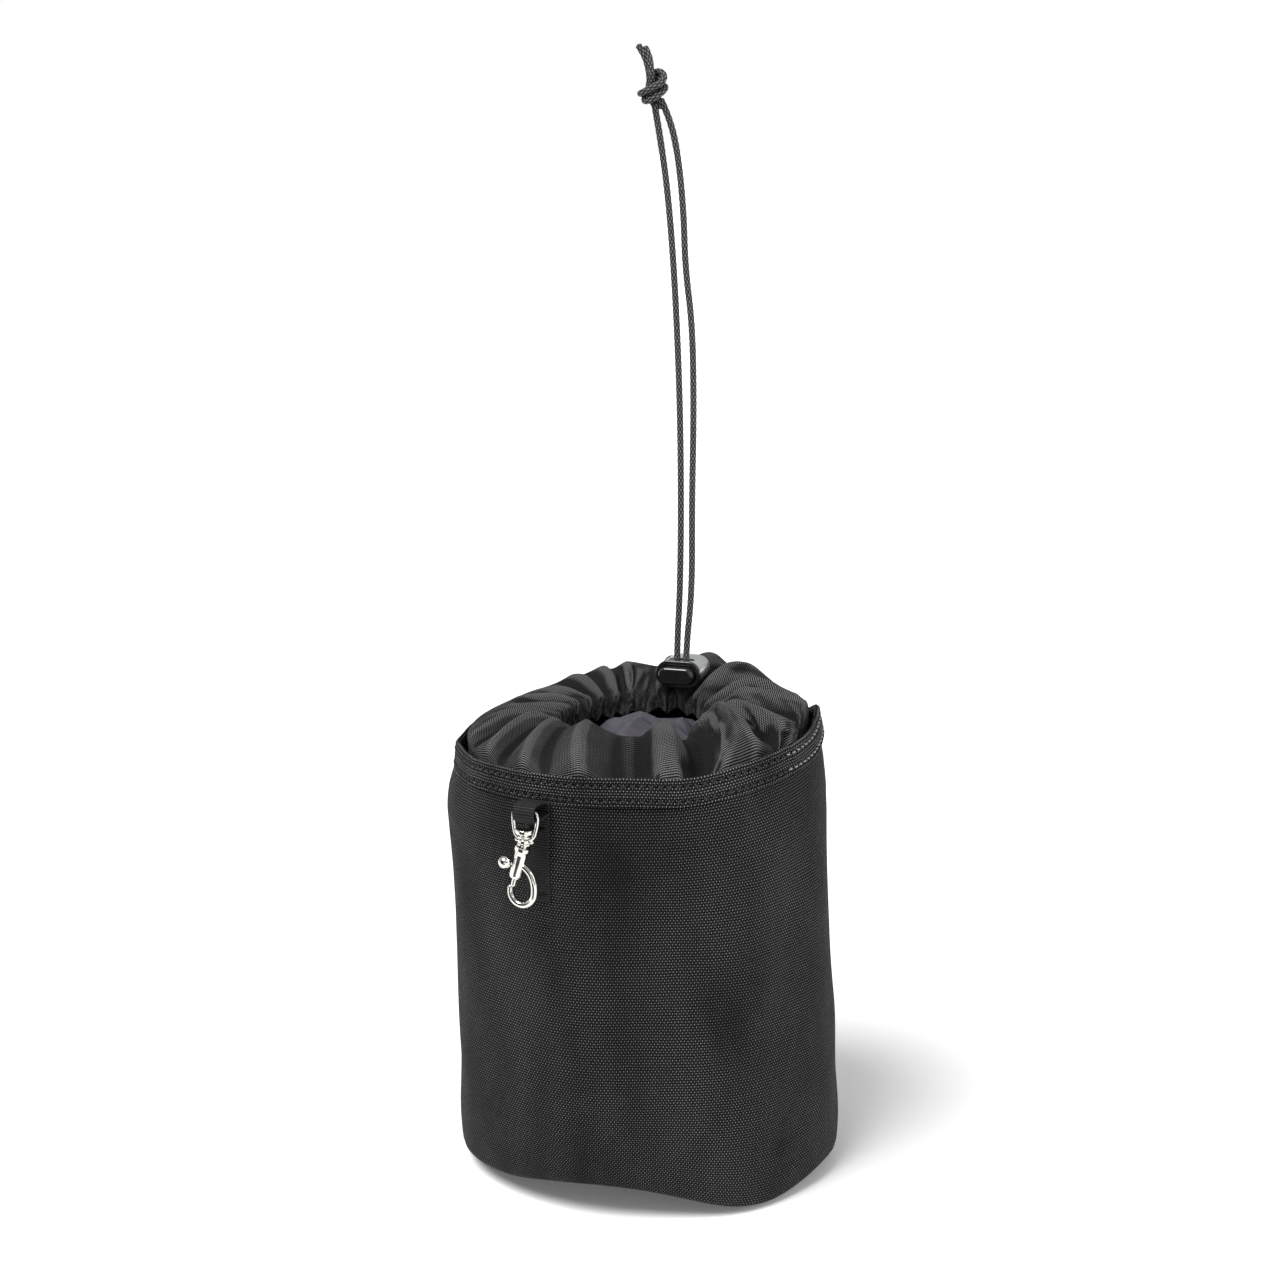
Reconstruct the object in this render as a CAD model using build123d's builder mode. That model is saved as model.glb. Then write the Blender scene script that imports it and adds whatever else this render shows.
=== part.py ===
"""Rope storage bag for arborist climbing gear, in millimetres.

A soft round bag stands on its base panel, with +Z up and its front towards -Y.
A gathered collar closes its top, on a drawcord that runs through a cord lock.
A swivel snap hook hangs on a webbing loop at the front left.
"""

import os
from math import atan2, cos, degrees, pi, radians, sin, tan

from build123d import *

os.makedirs("parts", exist_ok=True)

# ---- bag ----
BASE_X = 2.0  # the soft bag leans, so its base and rim aren't quite in line
RIM_X = -3.8
BAG_R = 89.0
WALL = 1.2
HEM_Z = 190.8
RIM_Z = 203.0
HEM_T = 2.4
HEM_ROUND = 1.0
# height, radius of the wall's outer face, from the rounded base edge to the hem
WALL_SECTIONS = [
    (0.0, 81.0),
    (3.0, 85.4),
    (9.0, 88.2),
    (18.0, BAG_R),
    (60.0, 88.6),
    (120.0, 87.2),
    (170.0, 86.6),
    (182.0, 86.0),
    (HEM_Z, 85.0),
]
HEM_LOW_R = WALL_SECTIONS[-1][1] + 0.3
HEM_TOP_R = HEM_LOW_R - 1.6
SEWN_GAP = 0.05  # between pieces sewn face to face
BASE_T = 1.6
SEAM_TAPE_H = 9.0
SEAM_TAPE_T = 2.0
SEAM_TAPE_INSET = 0.4
SEAM_TAPE_ROUND = 0.8
SIDE_SEAM_W = 9.0
SIDE_SEAM_T = 1.6
STRIP_ROUND = 0.6
SIDE_SEAM_AZ = 53.0  # clockwise from the front, seen from above, is negative
SIDE_SEAM_Z = (24.0, 186.0)
STITCH_R = 0.35
STITCH_ROWS = (199.8, 193.0)

# ---- collar and drawcord channel ----
MOUTH_X = -4.0
MOUTH_R = 40.4
MOUTH_Z = 204.5
COLLAR_T = 1.0
CHANNEL_R = 4.0
CHANNEL_HOLE_R = 2.4
CHANNEL_GAP = 34.0  # degrees left open under the cord lock

# ---- cord lock ----
LOCK_YAW = 17.0
LOCK_Z = 222.5
SLOT_X = 17.0
SLOT_Y = 34.2
SLOT_INSET = 6.5  # from the flange's face back to the cord slot
BARREL_W = 21.0
BARREL_H = 12.0
BARREL_END = 20.5
FLANGE_T = 2.0
FLANGE_W = 21.8
FLANGE_H = 12.8
PLUNGER_W = 17.0
PLUNGER_H = 8.0
PLUNGER_FIT = 0.2
PLUNGER_BACK = 12.2
BUTTON_OUT = 4.7
PLUNGER_FLOOR = 19.0
PLUNGER_HOLE = (-6.3, 2.1)  # from the cord slot's centre, towards the front and the back
BUTTON_ROUND = 1.4
BARREL_ROUND = 1.2
FLANGE_ROUND = 0.6
SLOT_W = 13.0
SLOT_D = 4.6
SPRING_R = 2.2
SPRING_WIRE = 0.6
SPRING_SEAT = 2.4
SPRING_FIT = 0.5

# ---- drawcord ----
CORD_D = 2.8
CORD_JOIN_Z = 219.0  # the held loop meets the free strands inside the lock
LOOP_EASE = 13.0  # degrees each side of the lock where the loop turns up into it
LOOP_SIDES = 14
STRAND_GAP = 2.15  # from the slot's centre to each strand
KNOT = (3.3, 34.3, 491.8)
KNOT_R = 6.2
KNOT_H = 16.0

# ---- webbing and snap hook ----
STRAP_AZ = -30.0
STRAP_W = 12.0
STRAP_T = 1.4
STRAP_Z = (146.5, 190.0)
LOOP_R = 1.9  # inside the fold, round the eye's bar
LOOP_W = 10.6
LOOP_FOLD_END = 6.0  # from the bar back to where the two layers meet
TACK_W = 9.0
TACK_H = 1.6
TACK_T = 0.5
TACK_Z = (149.5, 179.6)
SNAP_AZ = -29.0
SNAP_OUT = 12.2  # from the wall to the eye's bar
EYE_TOP_Z = 188.6
SNAP_TILT = 3.5  # the hanging snap leans to the left
EYE_W = 15.4
EYE_LOW_W = 10.6
EYE_H = 14.2
EYE_WIRE = 1.8
EYE_SHOULDER = 4.0  # down from the top to where the legs start to close in
EYE_FOOT = 2.4
EYE_COLLAR_R = 2.6
EYE_COLLAR_H = 3.4
NECK = 2.0  # from the eye down to the barrel
POST_R = 1.3
POST_FIT = 0.08
POST_L = 5.5
POST_UNDER = 2.8  # below the eye's foot
POST_HEAD_R = 2.5
POST_HEAD_H = 2.2
BARREL_SLANT = 13.0
SNAP_BARREL_TOP_R = 3.2
SNAP_BARREL_R = 2.6
SNAP_BARREL_L = 14.5
BOLT_R = 1.1
BOLT_FIT = 0.06
BOLT_TOP = 9.9  # down the barrel from the swivel
BOLT_END = 21.0
BOLT_TRAVEL = 5.5
STEM_R = 0.65
STEM_DOWN = 10.7
BALL_R = 2.4
BALL_OUT = 5.3
BALL_TURN = 30.0  # the thumb ball stands left, turned this far outward
BORE_TOP = 3.2
SLOT_PLAY = 0.6
BOLT_SPRING_R = 1.0
BOLT_SPRING_WIRE = 0.3
HOOK_R = 6.05
HOOK_TUBE_R = 1.4
HOOK_CENTRE = -36.1
HOOK_START = 172.0  # the ring's free end, in degrees from the snap's own x
HOOK_SWEEP = 230.0
HOOK_ARM = 8.2


def bag_x(z):
    """The leaning bag's centre line at height z."""
    return BASE_X + (RIM_X - BASE_X) * z / RIM_Z


def envelope(grow):
    """The wall's outer shape, grown by a distance."""
    with BuildPart() as shape:
        for z, r in WALL_SECTIONS:
            with BuildSketch(Plane.XY.offset(z)):
                with Locations((bag_x(z), 0)):
                    Circle(r + grow)
        loft(ruled=True)
    return shape.part


def radial_plane(azimuth, radius, z, centre_x):
    """A plane facing outward at an azimuth from the front, its x along the wall and its y up."""
    a = radians(azimuth)
    out = Vector(sin(a), -cos(a), 0)
    along = Vector(cos(a), sin(a), 0)
    return Plane(origin=Vector(centre_x, 0, z) + out * radius, x_dir=along, z_dir=out)


def upright(x, y, z, turn=0.0):
    """A vertical plane through a point, its x level and turned from +X, its y up."""
    a = radians(turn)
    return Plane(origin=(x, y, z), x_dir=(cos(a), sin(a), 0), z_dir=(sin(a), -cos(a), 0))


def save(shape, name):
    """Labels a finished piece and writes its STEP file."""
    shape.label = name
    export_step(shape, f"parts/{name}.step")


def rounded_path(points):
    """Straight runs joined by arcs, each as large as its two runs allow."""
    pts = [Vector(*p) for p in points]
    radii = []
    for a, b, c in zip(pts, pts[1:], pts[2:]):
        turn = (b - a).get_angle(c - b)
        shorter = min((b - a).length, (c - b).length)
        radii.append(0.45 * shorter / tan(radians(turn) / 2))
    return FilletPolyline(*pts, radius=radii), radii


def tube_report(name, solid, path, radii):
    """Prints the route's radii and compares the tube's volume with section times length."""
    section = pi * (CORD_D / 2) ** 2
    print(name, "length", round(path.length, 1), "radii", [round(r, 1) for r in radii])
    print(name, "volume / (section x length)", round(solid.volume / (section * path.length), 4))


# ---- bag body ----
def make_wall():
    with BuildPart() as body_wall:
        add(envelope(0))
        add(envelope(-WALL), mode=Mode.SUBTRACT)
    save(body_wall.part, "body_wall")


def make_base():
    with BuildPart() as base_panel:
        with BuildSketch():
            with Locations((bag_x(0), 0)):
                Circle(WALL_SECTIONS[0][1] - WALL - SEWN_GAP)
        extrude(amount=BASE_T)
    save(base_panel.part, "base_panel")

    tape_r = WALL_SECTIONS[0][1] - WALL - SEAM_TAPE_INSET
    with BuildPart() as base_seam_binding:
        with BuildSketch(Plane.XY.offset(BASE_T)):
            with Locations((bag_x(BASE_T), 0)):
                Circle(tape_r)
                Circle(tape_r - SEAM_TAPE_T, mode=Mode.SUBTRACT)
        extrude(amount=SEAM_TAPE_H)
        fillet(base_seam_binding.edges().group_by(Axis.Z)[-1], SEAM_TAPE_ROUND)
    save(base_seam_binding.part, "base_seam_binding")


def wall_strip(low, high, azimuth, width, z_span):
    """A strip that follows the wall, between two offsets of it."""
    with BuildPart() as strip:
        add(envelope(high))
        add(envelope(low), mode=Mode.SUBTRACT)
        middle = (z_span[0] + z_span[1]) / 2
        with BuildSketch(radial_plane(azimuth, BAG_R / 2, middle, bag_x(middle))):
            RectangleRounded(width, z_span[1] - z_span[0], STRIP_ROUND)
        extrude(amount=BAG_R, mode=Mode.INTERSECT)
    return strip.part


def make_side_seam():
    inner = -WALL - SEWN_GAP
    strip = wall_strip(inner - SIDE_SEAM_T, inner, SIDE_SEAM_AZ, SIDE_SEAM_W, SIDE_SEAM_Z)
    save(strip, "side_seam_binding")


def make_hem():
    with BuildPart() as rim_hem:
        with BuildSketch(upright(RIM_X, 0, 0)):
            with BuildLine():
                Polyline(
                    (HEM_LOW_R - HEM_T, HEM_Z),
                    (HEM_LOW_R, HEM_Z),
                    (HEM_TOP_R, RIM_Z),
                    (HEM_TOP_R - HEM_T, RIM_Z),
                    close=True,
                )
            make_face()
        revolve(axis=Axis((RIM_X, 0, 0), (0, 0, 1)))
        fillet(rim_hem.edges().group_by(Axis.Z)[-1], HEM_ROUND)
    save(rim_hem.part, "rim_hem")

    for name, z in zip(("rim_stitch_upper", "rim_stitch_lower"), STITCH_ROWS):
        face_r = HEM_LOW_R + (HEM_TOP_R - HEM_LOW_R) * (z - HEM_Z) / (RIM_Z - HEM_Z)
        with BuildPart() as thread:
            with BuildSketch(upright(RIM_X, 0, 0)):
                with Locations((face_r + STITCH_R + SEWN_GAP, z)):
                    Circle(STITCH_R)
            revolve(axis=Axis((RIM_X, 0, 0), (0, 0, 1)))
        save(thread.part, name)


# ---- collar ----
def make_collar():
    skirt_r = HEM_TOP_R - HEM_T
    with BuildPart() as collar:
        with BuildSketch(upright(RIM_X, 0, 0)):
            with BuildLine():
                arch = Spline(
                    (skirt_r - 1.6, RIM_Z - 8),
                    (skirt_r - 1.8, RIM_Z),
                    (skirt_r - 4.5, RIM_Z + 6),
                    (71, RIM_Z + 10),
                    (60, RIM_Z + 11),
                    (MOUTH_R + CHANNEL_R + 0.9, MOUTH_Z - 1),
                )
            trace(arch, line_width=COLLAR_T)
        revolve(axis=Axis((RIM_X, 0, 0), (0, 0, 1)))
    save(collar.part, "collar")

    lock_side = degrees(atan2(SLOT_Y, SLOT_X - MOUTH_X))
    with BuildPart() as drawcord_channel:
        with BuildSketch(upright(MOUTH_X, 0, MOUTH_Z, lock_side + CHANNEL_GAP / 2)):
            with Locations((MOUTH_R, 0)):
                Circle(CHANNEL_R)
                Circle(CHANNEL_HOLE_R, mode=Mode.SUBTRACT)
        revolve(axis=Axis((MOUTH_X, 0, 0), (0, 0, 1)), revolution_arc=360 - CHANNEL_GAP)
    save(drawcord_channel.part, "drawcord_channel")


# ---- drawcord ----
LOCK_ALONG = Vector(cos(radians(LOCK_YAW)), -sin(radians(LOCK_YAW)), 0)
LOCK_OUT = Vector(-sin(radians(LOCK_YAW)), -cos(radians(LOCK_YAW)), 0)

# the free strands, from inside the lock up to the knot
LEFT_ROUTE = [
    (14.94, 34.83, CORD_JOIN_Z),
    (14.94, 34.83, 236),
    (16.3, 34.6, 262),
    (16.6, 34.6, 304),
    (15.9, 34.9, 351),
    (13.6, 34.8, 401),
    (10.9, 34.7, 437),
    (7.6, 34.5, 464),
    (3.9, 34.4, 484.5),
]
RIGHT_ROUTE = [
    (19.06, 33.57, CORD_JOIN_Z),
    (19.06, 33.57, 233),
    (21.9, 32.9, 262),
    (21.6, 33.1, 304),
    (22.3, 33.1, 346),
    (21.5, 33.3, 385),
    (18.1, 33.5, 411),
    (17.3, 33.6, 436),
    (14.9, 33.9, 460),
    (11.2, 34.1, 477.5),
    (6.6, 34.3, 486.6),
]
TAIL_ROUTES = [
    [(2.4, 34.4, 497.5), (0.6, 34.1, 502.5), (-3.8, 33.7, 510.0)],
    [(4.4, 34.3, 497.5), (3.0, 34.9, 502.5), (0.9, 35.6, 509.5)],
]


def cord_tube(points):
    """A plain tube along a route, and what its route measures."""
    with BuildPart() as tube:
        with BuildLine():
            path, radii = rounded_path(points)
        with BuildSketch(Plane(origin=path @ 0, z_dir=path % 0)):
            Circle(CORD_D / 2)
        sweep(path=path)
    return tube.part, path, radii


def make_strands():
    for name, route in (("drawcord_left", LEFT_ROUTE), ("drawcord_right", RIGHT_ROUTE)):
        tube, path, radii = cord_tube(route)
        tube_report(name, tube, path, radii)
        save(tube, name)

    tails = [cord_tube(route)[0] for route in TAIL_ROUTES]
    with BuildPart() as drawcord_tails:
        add(tails)
    save(drawcord_tails.part, "drawcord_tails")

    with BuildPart() as drawcord_knot:
        with BuildSketch(upright(*KNOT)):
            with BuildLine():
                Spline(
                    (0, -KNOT_H / 2),
                    (KNOT_R, -KNOT_H / 6),
                    (KNOT_R * 0.86, KNOT_H / 4),
                    (0, KNOT_H / 2),
                    tangents=((1, 0), (-1, 0)),
                )
                Line((0, KNOT_H / 2), (0, -KNOT_H / 2))
            make_face()
        revolve(axis=Axis(KNOT, (0, 0, 1)))
    save(drawcord_knot.part, "drawcord_knot")


def make_loop():
    """The held part of the drawcord, round the mouth inside its channel."""
    ends = []
    for side in (-1, 1):
        top = Vector(SLOT_X, SLOT_Y, 0) + LOCK_ALONG * (side * STRAND_GAP)
        ends.append(top)
    centre = Vector(MOUTH_X, 0, 0)
    start = atan2(ends[1].Y - centre.Y, ends[1].X - centre.X)
    end = atan2(ends[0].Y - centre.Y, ends[0].X - centre.X)
    first = start - radians(LOOP_EASE)
    last = end + radians(LOOP_EASE) - 2 * pi
    ring = [first + (last - first) * i / LOOP_SIDES for i in range(LOOP_SIDES + 1)]
    points = [Vector(ends[1].X, ends[1].Y, CORD_JOIN_Z), Vector(ends[1].X, ends[1].Y, MOUTH_Z)]
    points += [centre + Vector(MOUTH_R * cos(a), MOUTH_R * sin(a), MOUTH_Z) for a in ring]
    points += [Vector(ends[0].X, ends[0].Y, MOUTH_Z), Vector(ends[0].X, ends[0].Y, CORD_JOIN_Z)]
    tube, path, radii = cord_tube([tuple(p) for p in points])
    tube_report("drawcord_loop", tube, path, radii)
    save(tube, "drawcord_loop")


# ---- cord lock ----
def lock_plane(depth):
    """Across the cord lock, at a depth behind the flange's face; negative is in front."""
    face = Vector(SLOT_X, SLOT_Y, LOCK_Z) + LOCK_OUT * SLOT_INSET
    return Plane(origin=face - LOCK_OUT * depth, x_dir=LOCK_ALONG, z_dir=LOCK_OUT)


def slot_plane():
    """Level, at the cord slot's centre, with its y towards the barrel's closed end."""
    return Plane(origin=(SLOT_X, SLOT_Y, LOCK_Z), x_dir=LOCK_ALONG, z_dir=(0, 0, 1))


def make_lock():
    bore_w = PLUNGER_W + 2 * PLUNGER_FIT
    bore_h = PLUNGER_H + 2 * PLUNGER_FIT
    with BuildPart() as lock_barrel:
        with BuildSketch(lock_plane(FLANGE_T)):
            SlotOverall(BARREL_W, BARREL_H)
        extrude(amount=FLANGE_T - BARREL_END)
        fillet(lock_barrel.edges().sort_by(Axis((0, 0, 0), LOCK_OUT))[:4], BARREL_ROUND)
        with BuildSketch(lock_plane(FLANGE_T)):
            SlotOverall(bore_w, bore_h)
        extrude(amount=FLANGE_T - PLUNGER_FLOOR, mode=Mode.SUBTRACT)
        with BuildSketch(slot_plane()):
            SlotOverall(SLOT_W, SLOT_D)
        extrude(amount=BARREL_H, both=True, mode=Mode.SUBTRACT)
    save(lock_barrel.part, "lock_barrel")

    with BuildPart() as lock_flange:
        with BuildSketch(lock_plane(FLANGE_T)):
            SlotOverall(FLANGE_W, FLANGE_H)
            SlotOverall(bore_w, bore_h, mode=Mode.SUBTRACT)
        extrude(amount=FLANGE_T)
        fillet(lock_flange.edges().group_by(Axis((0, 0, 0), LOCK_OUT))[-1], FLANGE_ROUND)
    save(lock_flange.part, "lock_flange")

    hole_front, hole_back = PLUNGER_HOLE
    with BuildPart() as lock_plunger:
        with BuildSketch(lock_plane(PLUNGER_BACK)):
            SlotOverall(PLUNGER_W, PLUNGER_H)
        extrude(amount=PLUNGER_BACK + BUTTON_OUT)
        fillet(lock_plunger.edges().group_by(Axis((0, 0, 0), LOCK_OUT))[-1], BUTTON_ROUND)
        with BuildSketch(slot_plane()):
            with Locations((0, (hole_back + hole_front) / 2)):
                Rectangle(SLOT_W - 2 * PLUNGER_FIT, hole_back - hole_front)
        extrude(amount=BARREL_H, both=True, mode=Mode.SUBTRACT)
        with BuildSketch(lock_plane(PLUNGER_BACK)):
            Circle(SPRING_R + SPRING_FIT)
        extrude(amount=SPRING_SEAT, mode=Mode.SUBTRACT)
    save(lock_plunger.part, "lock_plunger")

    with BuildPart() as lock_spring:
        with BuildSketch(lock_plane(PLUNGER_FLOOR)):
            Circle(SPRING_R)
            Circle(SPRING_R - SPRING_WIRE, mode=Mode.SUBTRACT)
        extrude(amount=PLUNGER_FLOOR - PLUNGER_BACK + SPRING_SEAT)
    save(lock_spring.part, "lock_spring")


# ---- webbing ----
def make_webbing():
    strap = wall_strip(SEWN_GAP, STRAP_T, STRAP_AZ, STRAP_W, STRAP_Z)
    save(strap, "webbing_strap")

    # the loop, seen from the side: out from the strap's top, round the eye's bar and back
    bar = (SNAP_OUT, EYE_TOP_Z - EYE_WIRE / 2)
    sewn = (STRAP_T + 0.4, EYE_TOP_Z - 2.0)
    with BuildPart() as webbing_loop:
        side = radial_plane(SNAP_AZ, BAG_R - 2.4, 0, bag_x(EYE_TOP_Z))
        across = Plane(origin=side.origin, x_dir=side.z_dir, z_dir=-side.x_dir)
        with BuildSketch(across):
            with Locations(bar):
                Circle(LOOP_R + STRAP_T)
            with BuildLine():
                Polyline(
                    (sewn[0], sewn[1] - STRAP_T),
                    (bar[0], bar[1] - LOOP_R - STRAP_T),
                    (bar[0], bar[1] + LOOP_R + STRAP_T),
                    (sewn[0], sewn[1] + STRAP_T),
                    close=True,
                )
            make_face()
            with Locations(bar):
                Circle(LOOP_R, mode=Mode.SUBTRACT)
            with BuildLine():
                Polyline(
                    (bar[0] - LOOP_FOLD_END, bar[1] - 0.4),
                    (bar[0] - 0.6, bar[1] - LOOP_R + 0.1),
                    (bar[0] - 0.6, bar[1] + LOOP_R - 0.1),
                    close=True,
                )
            make_face(mode=Mode.SUBTRACT)
        extrude(amount=LOOP_W / 2, both=True)
    save(webbing_loop.part, "webbing_loop")

    tacks = []
    face = STRAP_T + SEWN_GAP
    for z in TACK_Z:
        span = (z - TACK_H / 2, z + TACK_H / 2)
        tacks.append(wall_strip(face, face + TACK_T, STRAP_AZ, TACK_W, span))
    with BuildPart() as webbing_bartacks:
        add(tacks)
    save(webbing_bartacks.part, "webbing_bartacks")


# ---- snap hook: x along the wall, y up the snap's own axis from the eye's top ----
def snap_plane():
    """The hanging snap's own plane, leaning to the left about its eye."""
    level = radial_plane(SNAP_AZ, BAG_R - 2.4 + SNAP_OUT, EYE_TOP_Z, bag_x(EYE_TOP_Z))
    tilt = radians(SNAP_TILT)
    across = level.x_dir * cos(tilt) - level.y_dir * sin(tilt)
    return Plane(origin=level.origin, x_dir=across, z_dir=level.z_dir)


def snap_point(u, w, n=0.0):
    """A point in the snap's frame as a place in the part's frame."""
    plane = snap_plane()
    return plane.origin + plane.x_dir * u + plane.y_dir * w + plane.z_dir * n


def axis_plane(up):
    """Across the swivel's axis, at a height above the eye's foot, facing up."""
    plane = snap_plane()
    return Plane(origin=snap_point(0, up - EYE_H), x_dir=plane.x_dir, z_dir=plane.y_dir)


def barrel_plane(down):
    """Across the slanted barrel, at a distance down its axis from the swivel, facing down."""
    plane = snap_plane()
    slant = radians(BARREL_SLANT)
    axis = plane.x_dir * -sin(slant) + plane.y_dir * -cos(slant)
    return Plane(origin=snap_point(0, -EYE_H) + axis * down, x_dir=plane.z_dir, z_dir=axis)


def make_snap():
    plane = snap_plane()
    half = EYE_WIRE / 2
    with BuildPart() as snap_eye:
        with BuildSketch(plane.offset(-half)):
            with BuildLine():
                Polyline(
                    (-EYE_W / 2, 0),
                    (EYE_W / 2, 0),
                    (EYE_W / 2, -EYE_SHOULDER),
                    (EYE_LOW_W / 2, -EYE_H),
                    (-EYE_LOW_W / 2, -EYE_H),
                    (-EYE_W / 2, -EYE_SHOULDER),
                    close=True,
                )
            make_face()
            with BuildLine():
                Polyline(
                    (-EYE_W / 2 + EYE_WIRE, -EYE_WIRE),
                    (EYE_W / 2 - EYE_WIRE, -EYE_WIRE),
                    (EYE_W / 2 - EYE_WIRE, -EYE_SHOULDER - 0.3),
                    (EYE_LOW_W / 2 - EYE_WIRE + 0.3, -EYE_H + EYE_FOOT),
                    (-EYE_LOW_W / 2 + EYE_WIRE - 0.3, -EYE_H + EYE_FOOT),
                    (-EYE_W / 2 + EYE_WIRE, -EYE_SHOULDER - 0.3),
                    close=True,
                )
            make_face(mode=Mode.SUBTRACT)
        extrude(amount=EYE_WIRE)
        with BuildSketch(axis_plane(EYE_FOOT - EYE_COLLAR_H)):
            Circle(EYE_COLLAR_R)
        extrude(amount=EYE_COLLAR_H)
        with BuildSketch(axis_plane(EYE_FOOT - EYE_COLLAR_H - 1)):
            Circle(POST_R + POST_FIT)
        extrude(amount=EYE_COLLAR_H + 2, mode=Mode.SUBTRACT)
    save(snap_eye.part, "snap_eye")

    with BuildPart() as swivel_post:
        with BuildSketch(axis_plane(-POST_UNDER)):
            Circle(POST_R)
        extrude(amount=POST_L)
        with BuildSketch(axis_plane(POST_L - POST_UNDER)):
            Circle(POST_HEAD_R)
        extrude(amount=POST_HEAD_H)
        fillet(swivel_post.edges().group_by(Axis((0, 0, 0), plane.y_dir))[-1], 0.8)
    save(swivel_post.part, "swivel_post")

    make_hook()


def ball_plane(down):
    """At a distance down the barrel's axis, facing the thumb ball, with its x along the barrel."""
    across = barrel_plane(down)
    plane = snap_plane()
    left = across.z_dir.cross(plane.z_dir)
    turn = radians(BALL_TURN)
    return Plane(
        origin=across.origin,
        x_dir=across.z_dir,
        z_dir=left * cos(turn) + plane.z_dir * sin(turn),
    )


def make_hook():
    plane = snap_plane()
    barrel_end = NECK + SNAP_BARREL_L
    slot_l = BOLT_TRAVEL + 2 * STEM_R + SLOT_PLAY
    with BuildPart() as snap_body:
        with BuildSketch(barrel_plane(NECK)):
            Circle(SNAP_BARREL_TOP_R)
        with BuildSketch(barrel_plane(barrel_end)):
            Circle(SNAP_BARREL_R)
        loft()
        fillet(snap_body.edges().filter_by(GeomType.CIRCLE), 0.5)
        with BuildLine(plane):
            ring = CenterArc((0, HOOK_CENTRE), HOOK_R, HOOK_START, HOOK_SWEEP)
            arm = Line(ring @ 1, ring @ 1 + (ring % 1) * HOOK_ARM)
        with BuildSketch(Plane(origin=ring @ 0, z_dir=ring % 0)):
            Circle(HOOK_TUBE_R)
        sweep(path=Wire([ring, arm]))
        with BuildSketch(barrel_plane(BORE_TOP)):
            Circle(BOLT_R + BOLT_FIT)
        extrude(amount=barrel_end + 1 - BORE_TOP, mode=Mode.SUBTRACT)
        with BuildSketch(ball_plane(STEM_DOWN - BOLT_TRAVEL / 2)):
            SlotOverall(slot_l, 2 * STEM_R + SLOT_PLAY)
        extrude(amount=SNAP_BARREL_TOP_R + 1, mode=Mode.SUBTRACT)
    save(snap_body.part, "snap_body")

    with BuildPart() as snap_bolt:
        with BuildSketch(barrel_plane(BOLT_TOP)):
            Circle(BOLT_R)
        extrude(amount=BOLT_END - BOLT_TOP)
        with BuildSketch(ball_plane(STEM_DOWN)):
            Circle(STEM_R)
        extrude(amount=BALL_OUT)
        with Locations(ball_plane(STEM_DOWN).offset(BALL_OUT).location):
            Sphere(BALL_R)
    save(snap_bolt.part, "snap_bolt")

    with BuildPart() as bolt_spring:
        with BuildSketch(barrel_plane(BORE_TOP)):
            Circle(BOLT_SPRING_R)
            Circle(BOLT_SPRING_R - BOLT_SPRING_WIRE, mode=Mode.SUBTRACT)
        extrude(amount=BOLT_TOP - BORE_TOP)
    save(bolt_spring.part, "bolt_spring")


if __name__ == "__main__":
    make_wall()
    make_base()
    make_side_seam()
    make_hem()
    make_collar()
    make_strands()
    make_loop()
    make_lock()
    make_webbing()
    make_snap()
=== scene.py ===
"""The looks of a rope storage bag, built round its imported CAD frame.

Shapes are worked out in millimetres in the row frame, and turned into metres where a mesh is made.
An azimuth is in degrees from the bag's front (-Y), positive towards +X.
"""

import math

import bmesh
import bpy
import numpy as np
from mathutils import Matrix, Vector


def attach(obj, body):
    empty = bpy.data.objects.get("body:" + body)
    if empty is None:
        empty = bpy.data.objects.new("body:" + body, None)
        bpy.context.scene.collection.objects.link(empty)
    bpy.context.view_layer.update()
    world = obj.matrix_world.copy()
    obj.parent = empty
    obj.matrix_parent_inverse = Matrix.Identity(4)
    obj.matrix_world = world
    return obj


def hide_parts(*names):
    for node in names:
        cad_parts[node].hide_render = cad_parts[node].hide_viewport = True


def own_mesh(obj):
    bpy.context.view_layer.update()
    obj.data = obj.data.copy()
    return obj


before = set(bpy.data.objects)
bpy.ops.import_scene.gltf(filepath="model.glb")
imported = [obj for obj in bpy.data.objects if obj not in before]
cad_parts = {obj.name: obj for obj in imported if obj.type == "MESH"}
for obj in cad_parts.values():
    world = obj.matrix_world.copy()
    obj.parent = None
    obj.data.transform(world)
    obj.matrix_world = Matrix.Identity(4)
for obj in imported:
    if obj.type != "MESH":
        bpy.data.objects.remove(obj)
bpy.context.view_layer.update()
scene = bpy.context.scene
MM = 0.001
chance = np.random.default_rng(11)

# ---- sizes of the bag, in mm ----
BASE_X = 2.0
RIM_X = -3.8
RIM_Z = 203.0
WALL_T = 1.2
WALL_R = 88  # for lengths of arc round the wall
HEM_R = 85  # and round the hem
HEM_TALL = 12.2
# height and radius of the wall's outer face
PROFILE = [
    (0, 84.4), (1, 86.4), (3, 87.8), (6, 88.5), (10, 88.8), (18, 89), (60, 88.6), (120, 87.2),
    (170, 86.8), (182, 86.2), (192, 84.9), (203, 83.4),
]
# how far the rim stands above or below its mean height, by azimuth
RIM_LIFT = [
    (-180, -1.5), (-130, -3.5), (-90, -4), (-50, -2.5), (-20, -1.2), (12, -1.2), (32, 1.5),
    (55, 4.5), (72, 9), (86, 13.5), (96, 11), (106, 4), (120, -1), (150, -1),
]
# how far the fabric's lower edge stands off the floor, by azimuth
BASE_LIFT = [
    (-170, 1), (-135, 4), (-110, 2), (-86, 3), (-61, 7), (-44, 9.5), (-33, 13.5), (-17, 16.5),
    (-4, 15), (7, 11), (18, 6), (27, 2), (40, 0.3), (52, 3), (66, 6), (86, 3), (115, 0.5),
    (150, 3.5),
]
LIFT_FADE_Z = 70.0
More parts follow.
